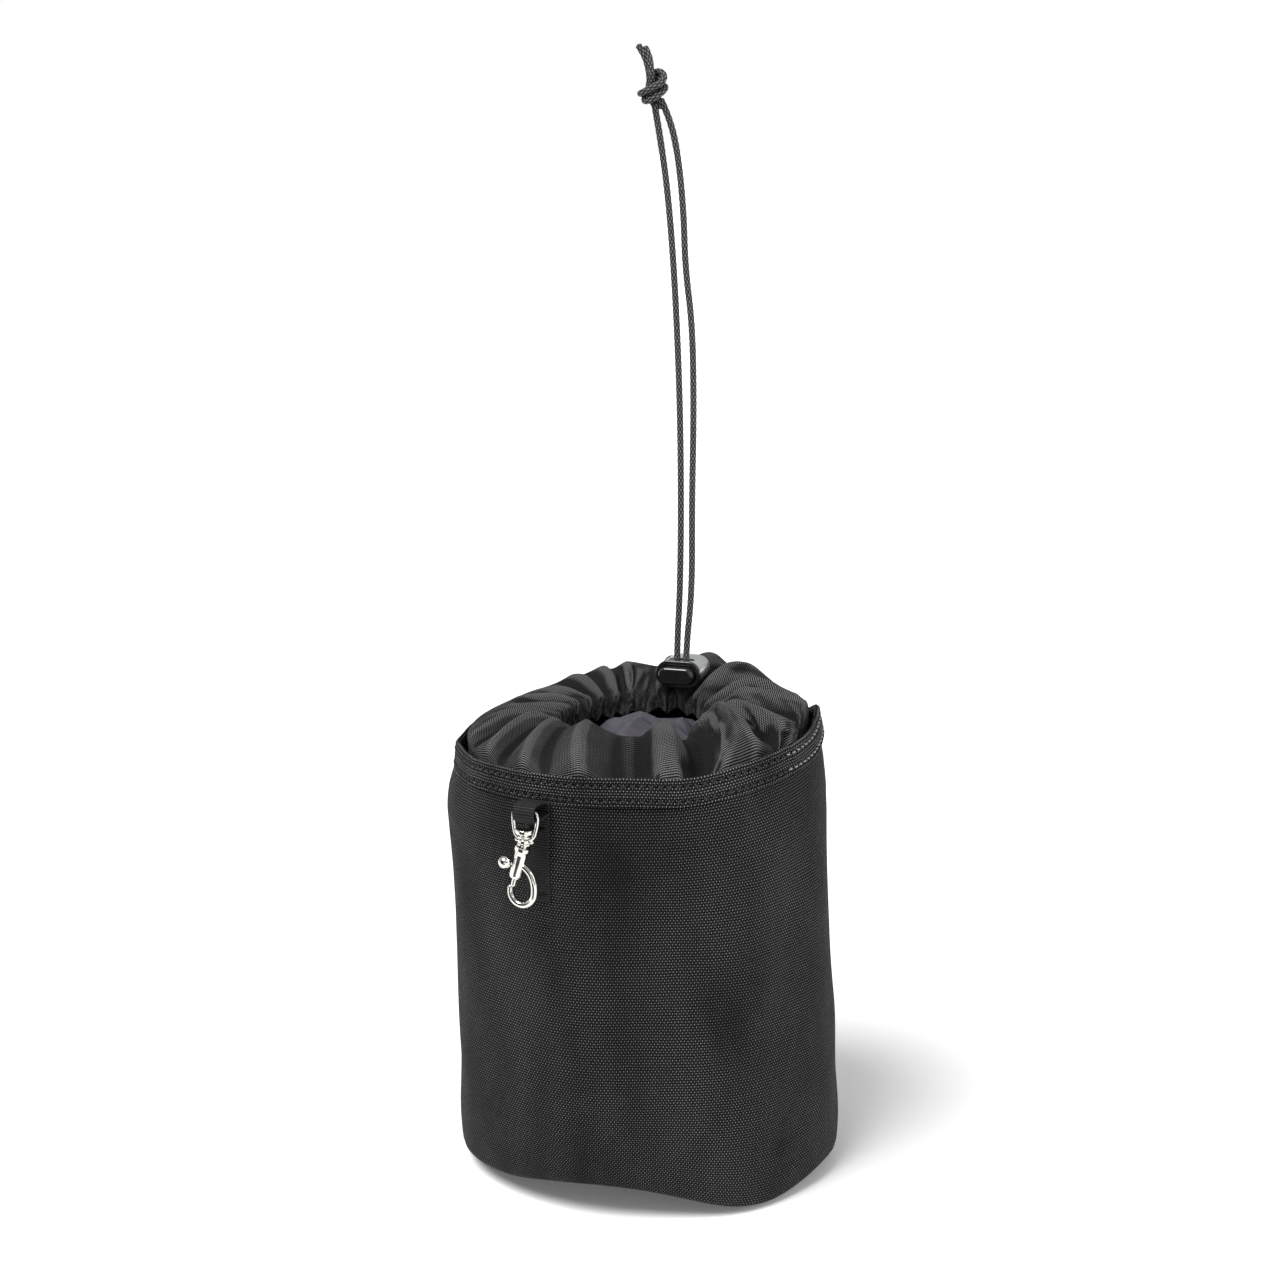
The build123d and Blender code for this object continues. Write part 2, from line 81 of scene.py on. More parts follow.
# broad dents and swellings: azimuth, half width in degrees, height, half height, depth outwards
DENTS = [
    (-22, 9, 110, 75, 1.8), (-6, 8, 120, 60, -1.2), (6, 9, 70, 70, -2), (29, 11, 105, 75, 1.9),
    (47, 8, 90, 60, -1.4), (-48, 12, 70, 60, -1.8), (-70, 12, 100, 60, 1.2),
    (-96, 16, 178, 14, 2.2), (-88, 14, 70, 40, -1.4), (72, 12, 60, 60, 1.4),
    (100, 16, 130, 50, -2.2), (128, 12, 90, 60, 2), (152, 12, 120, 70, -1.9),
    (178, 12, 70, 60, 1.6), (-158, 14, 130, 60, -2), (-132, 12, 80, 60, 1.8),
    (-112, 10, 120, 50, -1.2),
]
# creases in the wall: azimuth and height of both ends, half width and depth in mm
CREASES = [
    (30, 24, 52, 30, 2, -0.55), (38, 14, 60, 21, 1.8, -0.5), (44, 34, 66, 27, 2.2, -0.45),
    (-20, 20, 8, 26, 2.6, -0.5), (-62, 22, -40, 15, 2.4, -0.45), (2, 60, 12, 30, 3, -0.4),
    (-84, 168, -66, 160, 2.6, -0.5), (60, 176, 84, 166, 2.4, -0.5), (130, 40, 160, 26, 2.6, -0.6),
    (-150, 34, -120, 22, 2.6, -0.6),
]
HEM_Z = 190.8
HEM_T = 2.4
STITCH_ROWS = (199.6, 193.2)
STITCH_PITCH = 4.0
SIDE_SEAM_AZ = 53.0
LAP_AZ = -50.0


# ---- numbers ----
def unit(vectors):
    """The same directions, with length 1."""
    return vectors / np.linalg.norm(vectors, axis=-1, keepdims=True)


def smooth(x, low, high):
    """0 below low, 1 above high, and smooth between."""
    t = np.clip((np.asarray(x, float) - low) / (high - low), 0, 1)
    return t * t * (3 - 2 * t)


def around(azimuth, table, blur=5.0):
    """A value that changes smoothly round the bag, near given (azimuth, value) pairs."""
    fine = np.arange(-180, 180)
    values = np.interp(fine, *zip(*table), period=360)
    away = (fine + 180) % 360 - 180
    kernel = np.exp(-0.5 * (away / blur) ** 2)
    kernel = np.roll(kernel / kernel.sum(), -180)
    values = np.real(np.fft.ifft(np.fft.fft(values) * np.fft.fft(kernel)))
    return np.interp(azimuth, fine, values, period=360)


def turn_between(a, b):
    """The signed angle from azimuth b to a, in degrees."""
    return (a - b + 180) % 360 - 180


def wavy(azimuth, z, seed, waves=26, reach=14.0, tall=40.0):
    """Gentle unevenness of slack cloth: a sum of seeded waves, about 1 high."""
    draw = np.random.default_rng(seed)
    total = np.zeros(np.broadcast(azimuth, z).shape)
    for _ in range(waves):
        turns = draw.integers(2, int(reach))
        rise = draw.uniform(-1, 1) * 360 / tall
        total += np.sin(np.radians(turns * azimuth + rise * z) + draw.uniform(0, 6.283))
    return total / math.sqrt(waves)


def facing(azimuth):
    """The level directions along the wall and out of it at an azimuth."""
    a = math.radians(azimuth)
    return np.array([math.cos(a), math.sin(a), 0]), np.array([math.sin(a), -math.cos(a), 0])


def ring_points(centre_x, radius, azimuth, z):
    a = np.radians(azimuth)
    return np.stack([centre_x + radius * np.sin(a), -radius * np.cos(a), z], axis=-1)


def grid_uv(across, up):
    """Texture coordinates from each column's and each row's distance in mm."""
    return np.stack(np.broadcast_arrays(across[None, :] * MM, up[:, None] * MM), axis=-1)


# ---- bag wall ----
def bag_x(z):
    """The leaning bag's middle at a height."""
    return BASE_X + (RIM_X - BASE_X) * z / RIM_Z


def rim_lift(azimuth):
    """The rim isn't level: it droops at the left and rises to the right."""
    return around(azimuth, RIM_LIFT, blur=6.0)


def rim_lean(azimuth, z):
    """How far the top of the bag is drawn in at its sides."""
    lean = 2.7 * np.exp(-0.5 * (turn_between(azimuth, -90) / 38) ** 2)
    lean = lean + 1.7 * np.exp(-0.5 * (turn_between(azimuth, 90) / 38) ** 2)
    return lean * smooth(z, 168, 203)


def wall_point(azimuth, z, out=0.0):
    """Points on the sagging wall, out mm outside its outer face."""
    azimuth, z = np.broadcast_arrays(np.asarray(azimuth, float), np.asarray(z, float))
    radius = np.interp(z, *zip(*PROFILE))
    for a, wide, height, tall, depth in DENTS:
        away = turn_between(azimuth, a) / wide
        radius = radius + depth * np.exp(-0.5 * away**2 - 0.5 * ((z - height) / tall) ** 2)
    for a0, z0, a1, z1, wide, depth in CREASES:
        px = np.radians(turn_between(azimuth, a0)) * WALL_R
        py = z - z0
        dx, dy = math.radians(turn_between(a1, a0)) * WALL_R, z1 - z0
        along = (px * dx + py * dy) / (dx * dx + dy * dy)
        off = np.hypot(px - dx * np.clip(along, 0, 1), py - dy * np.clip(along, 0, 1))
        fade = np.sin(np.pi * np.clip(along, 0.02, 0.98)) ** 0.5
        radius = radius + depth * fade * np.exp(-0.5 * (off / wide) ** 2)
    calm = smooth(z, 4, 30) * (1 - smooth(z, 160, 188))
    radius = radius + 0.35 * calm * wavy(azimuth, z, 3)
    radius = radius + out - rim_lean(azimuth, z)
    lift = around(azimuth, BASE_LIFT) * np.clip(1 - z / LIFT_FADE_Z, 0, 1) ** 2
    high = z + lift + rim_lift(azimuth) * smooth(z, 120, 192)
    return ring_points(bag_x(z), radius, azimuth, high)


# ---- meshes ----
def link(name, data):
    obj = bpy.data.objects.new(name, data)
    scene.collection.objects.link(obj)
    return obj


def grid(name, points, uv, loop=True):
    """A mesh of rows and columns of points in mm. loop joins the last column to the first."""
    rows, cols = points.shape[:2]
    index = np.arange(rows * cols).reshape(rows, cols)
    if loop:
        index = np.concatenate([index, index[:, :1]], axis=1)
    faces = np.stack([index[:-1, :-1], index[:-1, 1:], index[1:, 1:], index[1:, :-1]], axis=-1)
    mesh = bpy.data.meshes.new(name)
    mesh.from_pydata((points.reshape(-1, 3) * MM).tolist(), [], faces.reshape(-1, 4).tolist())
    corners = np.stack([uv[:-1, :-1], uv[:-1, 1:], uv[1:, 1:], uv[1:, :-1]], axis=2)
    layer = mesh.uv_layers.new(name="weave")
    layer.data.foreach_set("uv", corners.astype(np.float32).ravel())
    mesh.shade_smooth()
    return link(name, mesh)


def thicken(obj, thickness):
    """Gives a sheet its thickness, inwards from the side that is seen."""
    solid = obj.modifiers.new("thickness", "SOLIDIFY")
    solid.thickness = thickness * MM
    solid.offset = -1
    return obj


def place(obj, material, slot, *nodes, body="bag"):
    """Gives a piece its material and its body, and hides the CAD nodes it stands for; the slot is not
    used.
    """
    obj.data.materials.clear()
    obj.data.materials.append(material)
    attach(obj, body)
    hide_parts(*nodes)


# ---- materials ----
class Nodes:
    """Short ways to add shader nodes to one material."""

    def __init__(self, name):
        self.material = bpy.data.materials.new(name)
        self.material.use_nodes = True
        self.tree = self.material.node_tree
        self.shader = self.tree.nodes["Principled BSDF"]

    def put(self, socket, value):
        if isinstance(value, bpy.types.NodeSocket):
            self.tree.links.new(value, socket)
        else:
            socket.default_value = value

    def fill(self, node, inputs):
        for name, value in inputs.items():
            self.put(node.inputs[name.replace("_", " ")], value)
        return node

    def add(self, kind, **inputs):
        return self.fill(self.tree.nodes.new("ShaderNode" + kind), inputs)

    def set(self, **values):
        self.fill(self.shader, values)

    def math(self, kind, a, b=0.0):
        node = self.add("Math")
        node.operation = kind
        for socket, value in zip(node.inputs, (a, b)):
            self.put(socket, value)
        return node.outputs[0]

    def times(self, a, b):
        return self.math("MULTIPLY", a, b)

    def plus(self, a, b):
        return self.math("ADD", a, b)

    def power(self, a, b):
        return self.math("POWER", a, b)

    def hump(self, x):
        """A half wave over each unit of x."""
        return self.math("SINE", self.times(self.math("FRACT", x), math.pi))

    def noise(self, vector, scale, detail=3.0):
        node = self.add("TexNoise", Vector=vector, Scale=scale, Detail=detail, Roughness=0.5)
        return node.outputs["Fac"]

    def ramp(self, value, low, high, out_low, out_high):
        limits = {"From_Min": low, "From_Max": high, "To_Min": out_low, "To_Max": out_high}
        return self.add("MapRange", Value=value, **limits).outputs[0]

    def mix(self, factor, a, b):
        """Between two colours."""
        node = self.add("Mix")
        node.data_type = "RGBA"
        return self.fill(node, {"Factor": factor, "A": (*a, 1), "B": (*b, 1)}).outputs["Result"]

    def place(self):
        return self.add("TexCoord").outputs["Object"]

    def stretch(self, where, scale):
        node = self.add("VectorMath")
        node.operation = "MULTIPLY"
        self.put(node.inputs[0], where)
        self.put(node.inputs[1], scale)
        return node.outputs[0]

    def attribute(self, name):
        node = self.add("Attribute")
        node.attribute_name = name
        return node.outputs["Fac"]

    def uv(self):
        node = self.add("UVMap")
        node.uv_map = "weave"
        split = self.add("SeparateXYZ", Vector=node.outputs["UV"])
        return split.outputs["X"], split.outputs["Y"]

    def bump(self, height, distance, strength=1.0):
        node = self.add("Bump", Strength=strength, Distance=distance * MM, Height=height)
        self.put(self.shader.inputs["Normal"], node.outputs["Normal"])


def weave(n, u, v):
    """Plain weave with threads one unit apart: its height, and 1 where the warp lies on top."""
    cells = n.plus(n.math("FLOOR", u), n.math("FLOOR", v))
    warp = n.math("GREATER_THAN", n.math("ABSOLUTE", n.math("MODULO", cells, 2.0)), 0.5)
    hump_u, hump_v = n.hump(u), n.hump(v)
    # a float is round across its thread and domed along it
    over = n.times(n.power(hump_u, 0.7), n.power(hump_v, 0.45))
    under = n.times(n.power(hump_v, 0.7), n.power(hump_u, 0.45))
    return n.plus(n.times(over, warp), n.times(under, n.math("SUBTRACT", 1.0, warp))), warp


def ribs(n, u, v):
    """Fine ribs one unit apart across v, with the threads showing faintly along them."""
    return n.times(n.power(n.hump(v), 0.8), n.plus(n.times(n.hump(u), 0.4), 0.6))


BLACK_YARN = (0.0008, 0.0008, 0.0009)


def cloth_material(
    name, pitches, light, relief, dark=BLACK_YARN, uneven=0.25, sheen=0.0, gloss=0.12, ribbed=False
):
    """Black cloth, woven or ribbed: threads, slubs and broad mottling. Pitches are in mm."""
    n = Nodes(name)
    where = n.place()
    wander = n.times(n.math("SUBTRACT", n.noise(where, 160.0, 2.0), 0.5), 0.5)
    tu, tv = (
        n.plus(n.math("DIVIDE", along, pitch * MM), wander) for along, pitch in zip(n.uv(), pitches)
    )
    height, warp = (ribs(n, tu, tv), 1.0) if ribbed else weave(n, tu, tv)
    slub = n.noise(where, 900.0, 2.0)
    broad = n.noise(n.stretch(where, (1.0, 1.0, 0.45)), 30.0)
    # painted highlight on each thread's crown, strongest where the warp lies on top
    shine = n.times(n.power(height, 6.0), n.plus(n.times(warp, 0.82), 0.18))
    shine = n.times(shine, n.ramp(slub, 0.3, 0.7, 1 - uneven, 1 + uneven))
    shine = n.times(shine, n.ramp(broad, 0.3, 0.7, 0.45, 1.6))
    if ribbed:
        # painted shade in the folds' valleys and a painted highlight on their crests
        crest = n.attribute("crest")
        shine = n.times(shine, n.ramp(crest, -0.5, 0.1, 0.2, 1.0))
        shine = n.times(shine, n.ramp(crest, 0.15, 0.7, 1.0, 3.6))
    n.set(
        Base_Color=n.mix(shine, dark, light),
        Roughness=n.ramp(height, 0.0, 1.0, 0.85, 0.58),
        Sheen_Weight=sheen,
        Sheen_Roughness=0.45,
        Specular_IOR_Level=gloss,
    )
    n.bump(height, relief)
    return n.material


def plain_material(name, colour, roughness, metallic=0.0, grain=0.1, coat=0.0):
    """A moulded or plated finish with faint unevenness in its gloss and surface."""
    n = Nodes(name)
    where = n.place()
    fine = n.noise(where, 700.0)
    dull = tuple(c * (1 - grain) for c in colour)
    gloss = n.noise(where, 210.0, 2.0)
    n.set(
        Base_Color=n.mix(n.ramp(fine, 0.35, 0.65, 0, 1), dull, colour),
        Roughness=n.ramp(gloss, 0.3, 0.7, roughness * 0.8, roughness * 1.2),
        Metallic=metallic,
        Coat_Weight=coat,
    )
    n.bump(fine, 0.01, 0.3)
    return n.material


bag_fabric = cloth_material("bag_cloth", (0.78, 1.25), (0.225, 0.225, 0.23), 0.7)
# the hem's cloth is the bag's own cloth with painted light: a lighter copy of its colour
hem_fabric_painted_light = cloth_material("hem_cloth_painted_light", (0.78, 1.25), (0.34, 0.34, 0.345), 0.7)
collar_fabric = cloth_material(
    "collar_cloth", (0.7, 0.95), (0.195, 0.195, 0.198), 0.5, uneven=0.15, gloss=0.2, ribbed=True
)
tape_fabric = cloth_material(
    "tape_cloth", (0.5, 0.9), (0.06, 0.06, 0.06), 0.15, dark=(0.01, 0.01, 0.01), sheen=0.25
)
thread_dark = plain_material("thread_dark", (0.002, 0.002, 0.002), 0.5)
# a lighter copy of the thread: painted highlight for the stitches at the right
thread_painted_light = plain_material("thread_painted_light", (0.33, 0.33, 0.335), 0.55)
nickel = plain_material("bright_nickel", (0.80, 0.78, 0.74), 0.08, metallic=1.0, grain=0.04)
silver = plain_material("silver_moulding", (0.78, 0.79, 0.80), 0.22, metallic=0.85, grain=0.05)
gloss_black = plain_material("gloss_black_moulding", (0.012, 0.012, 0.012), 0.16, coat=0.6)
spring_steel = plain_material("spring_wire", (0.5, 0.5, 0.5), 0.3, metallic=1.0)


# ---- bag body ----
WALL_COLS = 450


def make_body():
    azimuth = np.linspace(-180, 180, WALL_COLS + 1)[:-1]
    z = np.concatenate([np.array([0, 0.4, 1, 2, 3, 4.5, 6, 8]), np.linspace(10, 196, 90)])
    points = wall_point(azimuth[None, :], z[:, None])
    # the lower edge tucks in under the wall
    tuck = points[:1].copy()
    middle = np.array([BASE_X, 0.0])
    tuck[..., :2] = middle + (tuck[..., :2] - middle) * 0.975
    tuck[..., 2] = np.maximum(tuck[..., 2] - 0.35, 0.05)
    points = np.concatenate([tuck, points])
    z = np.concatenate([[-2], z])
    u = np.radians(np.linspace(-180, 180, WALL_COLS + 1)) * WALL_R
    wall = thicken(grid("bag_wall", points, grid_uv(u, z)), WALL_T)
    place(wall, bag_fabric, "bag_fabric", "body_wall")

    # the base: a round panel that follows the lifted edge and rests on the floor further in
    rings = np.linspace(0.02, 1, 36)
    edge = points[1]
    base = np.zeros((len(rings), len(azimuth), 3))
    base[..., 0] = BASE_X + (edge[:, 0] - BASE_X) * rings[:, None] * 0.985
    base[..., 1] = edge[:, 1] * rings[:, None] * 0.985
    sag = smooth(rings, 0.45, 1.0)[:, None] ** 1.5
    base[..., 2] = 1.3 + edge[:, 2] * sag
    uv = np.concatenate([base[..., :2], base[:, :1, :2]], axis=1) * MM
    panel = thicken(grid("base_panel_cloth", base[::-1], uv[::-1]), WALL_T)
    place(panel, bag_fabric, "bag_fabric", "base_panel")

    # the binding inside the base seam, and the one inside the side seam
    turn = np.linspace(0, 2 * np.pi, 15)
    up, out = (7.0 + 3.6 * np.cos(turn))[:, None], (-2.6 + 0.9 * np.sin(turn))[:, None]
    tape = grid("base_seam_tape", wall_point(azimuth[None, :], up, out), grid_uv(u, turn * 2))
    place(tape, tape_fabric, "binding_tape", "base_seam_binding")

    high = np.linspace(24, 186, 110)
    side = np.linspace(0, 2 * np.pi, 25)
    spread = SIDE_SEAM_AZ + np.degrees(4.5 * np.cos(side) / WALL_R)
    strip = wall_point(spread[None, :], high[:, None], (-2.3 + 0.6 * np.sin(side))[None, :])
    tape = grid("side_seam_tape", strip, grid_uv(side * 3, high), loop=False)
    place(tape, tape_fabric, "binding_tape", "side_seam_binding")


# ---- hem ----
def hem_point(azimuth, t, out=0.0):
    """Points on the folded hem; t runs 0 to 1 up its outer face, and to 2 down the inner one."""
    azimuth, t = np.broadcast_arrays(np.asarray(azimuth, float), np.asarray(t, float))
    up = np.where(t <= 1, t, 2 - t)
    z = HEM_Z + (RIM_Z - HEM_Z) * up
    outer = np.interp(z, *zip(*PROFILE)) + 1.0
    # the cloth swells between the two rows of stitches, and each stitch draws it in
    arc = np.radians(azimuth) * HEM_R
    pull = sum(np.exp(-0.5 * ((z - row) / 0.7) ** 2) for row in STITCH_ROWS)
    pucker = (0.5 + 0.5 * np.cos(2 * np.pi * arc / STITCH_PITCH)) ** 3
    outer = outer + 0.35 - pull * (0.5 + 0.8 * pucker)
    outer = outer + 0.5 * smooth(turn_between(azimuth, SIDE_SEAM_AZ), -0.7, 0.7) * (azimuth < 120)
    past_lap = turn_between(azimuth, LAP_AZ)
    outer = outer + 0.45 * (smooth(past_lap, 0.5, -0.5) * smooth(past_lap, -14, -13))
    bevel = 0.9 * np.clip((up - 0.9) / 0.1, 0, 1) ** 2
    foot = 0.5 * np.clip(1 - up / 0.05, 0, 1)
    radius = np.where(t <= 1, outer - bevel - foot, outer - HEM_T + bevel) + out
    # the left end of the rim is pinched to a soft corner
    pinch = 1.2 * np.exp(-0.5 * (turn_between(azimuth, -88) / 6) ** 2)
    radius = radius + pinch * smooth(z, 185, 203) - rim_lean(azimuth, z)
    high = z + rim_lift(azimuth) + 0.5 * wavy(azimuth, 0 * azimuth, 8)
    return ring_points(bag_x(z), radius, azimuth, high)


def make_hem():
    azimuth = np.linspace(-180, 180, 1081)
    # closer rows at the hem's foot and over its fold
    spans = ((0, 0.06, 4), (0.1, 0.86, 26), (0.88, 1.12, 13), (1.2, 2, 10))
    t = np.concatenate([np.linspace(*span) for span in spans])
    points = hem_point(azimuth[None, :-1], t[:, None])
    hem = grid("rim_hem_band", points, grid_uv(np.radians(azimuth) * HEM_R, t * HEM_TALL))
    place(hem, hem_fabric_painted_light, "bag_fabric", "rim_hem")

    count = round(2 * math.pi * HEM_R / STITCH_PITCH)
    middles = -180 + (np.arange(count) + 0.5) * 360 / count
    # the stitches from azimuth 50 to 128 are the same thread with a painted highlight
    bright = (middles > 50) & (middles < 128)
    for row, name in zip(STITCH_ROWS, ("upper", "lower")):
        t_row = (row - HEM_Z) / (RIM_Z - HEM_Z)
        for shade, material, chosen in (("dark", thread_dark, ~bright), ("light", thread_painted_light, bright)):
            length, radius = (2.8, 0.5) if shade == "dark" else (2.2, 0.32)
            obj = make_stitches(f"stitches_{name}_{shade}", middles[chosen], t_row, length, radius)
            place(obj, material, "thread", f"rim_stitch_{name}")


def make_stitches(name, middles, t_row, length, thick):
    """A row of stitches: rounded threads that dip into the cloth at both ends."""
    rings, sides = 9, 8
    s = np.linspace(-1, 1, rings)[None, :]
    azimuth = middles[:, None] + np.degrees(s * length / 2 / HEM_R)
    tilt = chance.uniform(-0.2, 0.2, (len(middles), 1))
    lift = 0.12 + 0.22 * (1 - s**2) - 0.45 * s**4
    base = hem_point(azimuth, t_row + s * tilt / HEM_TALL, lift)
    out = unit(hem_point(azimuth, t_row, 1.0) - hem_point(azimuth, t_row))[:, :, None, :]
    a = 2 * np.pi * np.arange(sides) / sides
    radius = (thick * np.sqrt(np.clip(1 - s**6, 0.05, 1)))[..., None, None]
    up = np.array([0, 0, 1.0])
    points = base[:, :, None, :] + radius * (out * np.cos(a)[:, None] + up * np.sin(a)[:, None])
    index = np.arange(points.size // 3).reshape(len(middles), rings, sides)
    turned = np.roll(index, -1, axis=2)
    sleeve = np.stack([index[:, :-1], turned[:, :-1], turned[:, 1:], index[:, 1:]], axis=-1)
    faces = sleeve.reshape(-1, 4).tolist()
    faces += index[:, 0, ::-1].tolist() + index[:, -1].tolist()
    mesh = bpy.data.meshes.new(name)
    mesh.from_pydata((points.reshape(-1, 3) * MM).tolist(), [], faces)
    mesh.shade_smooth()
    return link(name, mesh)


# ---- collar ----
COLLAR_COLS = 340
COLLAR_ROWS = 28  # from the hem to the cord
LIP_ROWS = 7  # past the cord, hanging into the mouth
LIP_TALL = 12.0
COLLAR_R = 81.0
MOUTH_X = -4.0
CORD_RING_R = 38.6
SLACK = 1.01  # how much longer the cloth is than its arch
# the collar's shape by azimuth: its shoulder's radius and height, then its crest's
ARCH = [
    (-180, 80, 211, 66, 220.5), (-168, 80, 210, 66, 220), (-152, 81, 208, 67, 214.5),
    (-135, 81, 205.5, 69, 209.5), (-118, 82, 203.5, 69, 207.5), (-100, 82, 202.5, 66, 207),
    (-83, 81, 203, 58, 209), (-60, 76, 204.5, 49, 212), (-35, 74, 204, 45, 213.5),
    (-10, 73, 203.5, 43.5, 213.5), (10, 73, 203.5, 43, 213.5), (24, 74, 204, 43, 213.5),
    (45, 75, 206.5, 44, 214.5), (65, 78, 212, 47, 215.5), (76, 81, 215, 52, 216.5),
    (90, 81, 219, 58, 217.5), (102, 82, 217, 64, 218.5), (112, 80, 214, 68, 220),
    (135, 80, 212, 68, 224), (152, 80, 212, 66, 226), (165, 80, 212, 65, 222),
]
# the height of the cord round the mouth
RING_Z = [
    (-180, 212), (-140, 210), (-90, 208.5), (-30, 211), (15, 211), (60, 211.5), (110, 212),
    (150, 215), (165, 214),
]
# cloth is less gathered at the front: the azimuth at which a thread leaves the hem, and the one
# at which it meets the cord
GATHER = [
    (-180, -180), (-120, -131), (-60, -82), (-25, -42), (0, -2), (25, 42), (60, 82), (120, 131),
    (180, 180),
]
FOLD_SWELL = 1.4  # how strongly the folds deepen between hem and cord
# the folds round the mouth: azimuth of each crest or valley, its height at the cord, the height
# that it gains between hem and cord, and how far from the hem it starts
FOLDS = [
    (-176, 2, 1.6, 0.45), (-171, -2.4, -2, 0.45), (-166, 1.8, 1.8, 0.45), (-160, -2.8, -2.4, 0.45),
    (-154, 2.2, 2.4, 0.4), (-149, -2, -1.6, 0.45), (-144, 1.8, 1.6, 0.45), (-138, -2.8, -2.6, 0.35),
    (-131, 2.4, 2.4, 0.35), (-126, -2.2, -1.8, 0.45), (-121, 1.6, 1.4, 0.45),
    (-116, -2.8, -2.6, 0.4), (-110, 2, 2, 0.35), (-104, -2.6, -2.6, 0.35), (-97, 2.2, 2.4, 0.15),
    (-89, -2.6, -3.6, 0.1), (-80, 1.8, 2.4, 0.05), (-69, -2.4, -4.2, 0.05), (-58, 1.2, 2.4, 0),
    (-47, -0.8, -2.8, 0), (-31, 2.2, 4, 0), (-10, -1.2, -4.2, 0), (3, -1.4, -5.4, 0),
    (11, 2, 3.6, 0), (21, 2.2, 4.4, 0), (28, -4.2, -5.4, 0), (36, -4.6, -6, 0), (46, 2, 4, 0),
    (62, 3.6, 5, 0), (72, -1.4, -4.8, 0.05), (80, 1.8, 2.6, 0.05), (87, -2, -4.2, 0.1),
    (97, 2, 3.4, 0.1), (108, -2.6, -4, 0.15), (115, 1.8, 2.6, 0.15), (122, -2.4, -3.8, 0.2),
    (131, 2.2, 3.2, 0.2), (139, -2.2, -2.8, 0.25), (147, 2, 2.6, 0.3), (156, -2.6, -2.8, 0.35),
    (164, 2, 2, 0.4), (172, -2.4, -2.2, 0.4),
]


def fold_wave(azimuth):
    """The folds' height at the cord, the height gained on the way, and their start."""
    turn = np.array([row[0] for row in FOLDS], float)
    turn = np.concatenate([[turn[-1] - 360], turn, [turn[0] + 360]])
    where = (np.asarray(azimuth, float) + 180) % 360 - 180
    columns = ([row[i] for row in (FOLDS[-1], *FOLDS, FOLDS[0])] for i in (1, 2, 3))
    return [np.interp(where, turn, column) for column in columns]


def collar_start():
    """The gathered collar before it settles: rows from the hem to the cord, then the lip.

    Also the length of cloth from the hem to each row.
    """
    hem_az = np.linspace(-180, 180, COLLAR_COLS + 1)[None, :-1]
    s = np.linspace(0, 1, COLLAR_ROWS + 1)[:, None]
    cord_az = np.interp(hem_az, *zip(*GATHER))
    azimuth = hem_az + (cord_az - hem_az) * smooth(s, 0.0, 1.0)
    at_cord, between, fold_start = fold_wave(cord_az)
    middle_az = (hem_az + cord_az) / 2
    shoulder_r, shoulder_z, crest_r, crest_z = (
        around(middle_az, [(row[0], row[i]) for row in ARCH]) for i in (1, 2, 3, 4)
    )
    rim = RIM_Z + rim_lift(hem_az)
    edge = 80.4 - rim_lean(hem_az, RIM_Z)
    shoulder_r = shoulder_r - rim_lean(hem_az, RIM_Z)
    ring_z = around(cord_az, RING_Z)
    cord_r = np.full_like(edge, CORD_RING_R)
    stops = [
        (edge, rim - 7.0),
        (edge, rim - 1.0),
        (shoulder_r, shoulder_z),
        (crest_r, crest_z),
        (cord_r + (crest_r - cord_r) * 0.6, crest_z),
        (cord_r, ring_z),
    ]
    corners = np.stack([np.concatenate(pair) for pair in stops])  # stop, (radius, height), column
    radius, z = np.empty((2, COLLAR_ROWS + 1, COLLAR_COLS))
    for column in range(COLLAR_COLS):
        way = corners[:, :, column]
        run = np.concatenate([[0], np.cumsum(np.linalg.norm(np.diff(way, axis=0), axis=1))])
        along = s[:, 0] * run[-1]
        radius[:, column] = np.interp(along, run, way[:, 0])
        z[:, column] = np.interp(along, run, way[:, 1])
    for _ in range(3):
        for line in (radius, z):
            line[2:-1] = (line[1:-2] + line[2:-1] * 2 + line[3:]) / 4
    step = np.hypot(np.diff(radius, axis=0), np.diff(z, axis=0))
    cloth = np.concatenate([np.zeros((1, COLLAR_COLS)), np.cumsum(step, axis=0)]) * SLACK
    cloth = np.concatenate([cloth, cloth[-1:] + np.linspace(0, LIP_TALL, LIP_ROWS + 1)[1:, None]])
    swell = np.sin(np.pi * np.clip((s - fold_start) / (1 - fold_start), 0, 1))
    fold = at_cord * smooth(s, fold_start, 1.0) + FOLD_SWELL * between * swell
    z = z + fold
    radius = radius - 0.35 * fold
    top = [azimuth, radius, z]
    # past the cord the cloth rolls over it and hangs inside
    t = np.linspace(0, 1, LIP_ROWS + 1)[1:, None]
    roll = np.clip(t * LIP_TALL / 5.0, 0, 1) * np.pi / 2
    lip_r = radius[-1:] - 3.2 * np.sin(roll) - 0.4 * t
    lip_z = z[-1:] - 2.8 * (1 - np.cos(roll)) - (LIP_TALL - 5.0) * np.clip((t - 0.45) / 0.55, 0, 1)
    lip = [azimuth[-1:] + 0 * t, lip_r, lip_z]
    azimuth, radius, z = (np.concatenate([p, q]) for p, q in zip(top, lip))
    centre = bag_x(z) + (MOUTH_X - RIM_X) * smooth(radius, 80, 45)
    return ring_points(centre, radius, azimuth, z), cloth


CREST_STEPS = (1, 3)  # columns to each side
CREST_RISE = 0.55  # mm
SETTLE_SCALE = 10  # the cloth settles at ten times its size, where the solver is steadier
SETTLE_FRAMES = 10
CLOTH = {
    "quality": 7,
    "mass": 0.12,
    "air_damping": 2.0,
    "tension_stiffness": 30,
    "compression_stiffness": 30,
    "shear_stiffness": 8,
    "bending_stiffness": 4.0,
    "tension_damping": 8,
    "compression_damping": 8,
    "bending_damping": 1.0,
    "use_pressure": True,
    "uniform_pressure_force": 0.1,
}
CLOTH_TOUCH = {
    "use_collision": False,
    "use_self_collision": True,
    "self_distance_min": 0.006,
    "self_friction": 4,
    "collision_quality": 2,
}
CLOTH_GRAVITY = 0.05


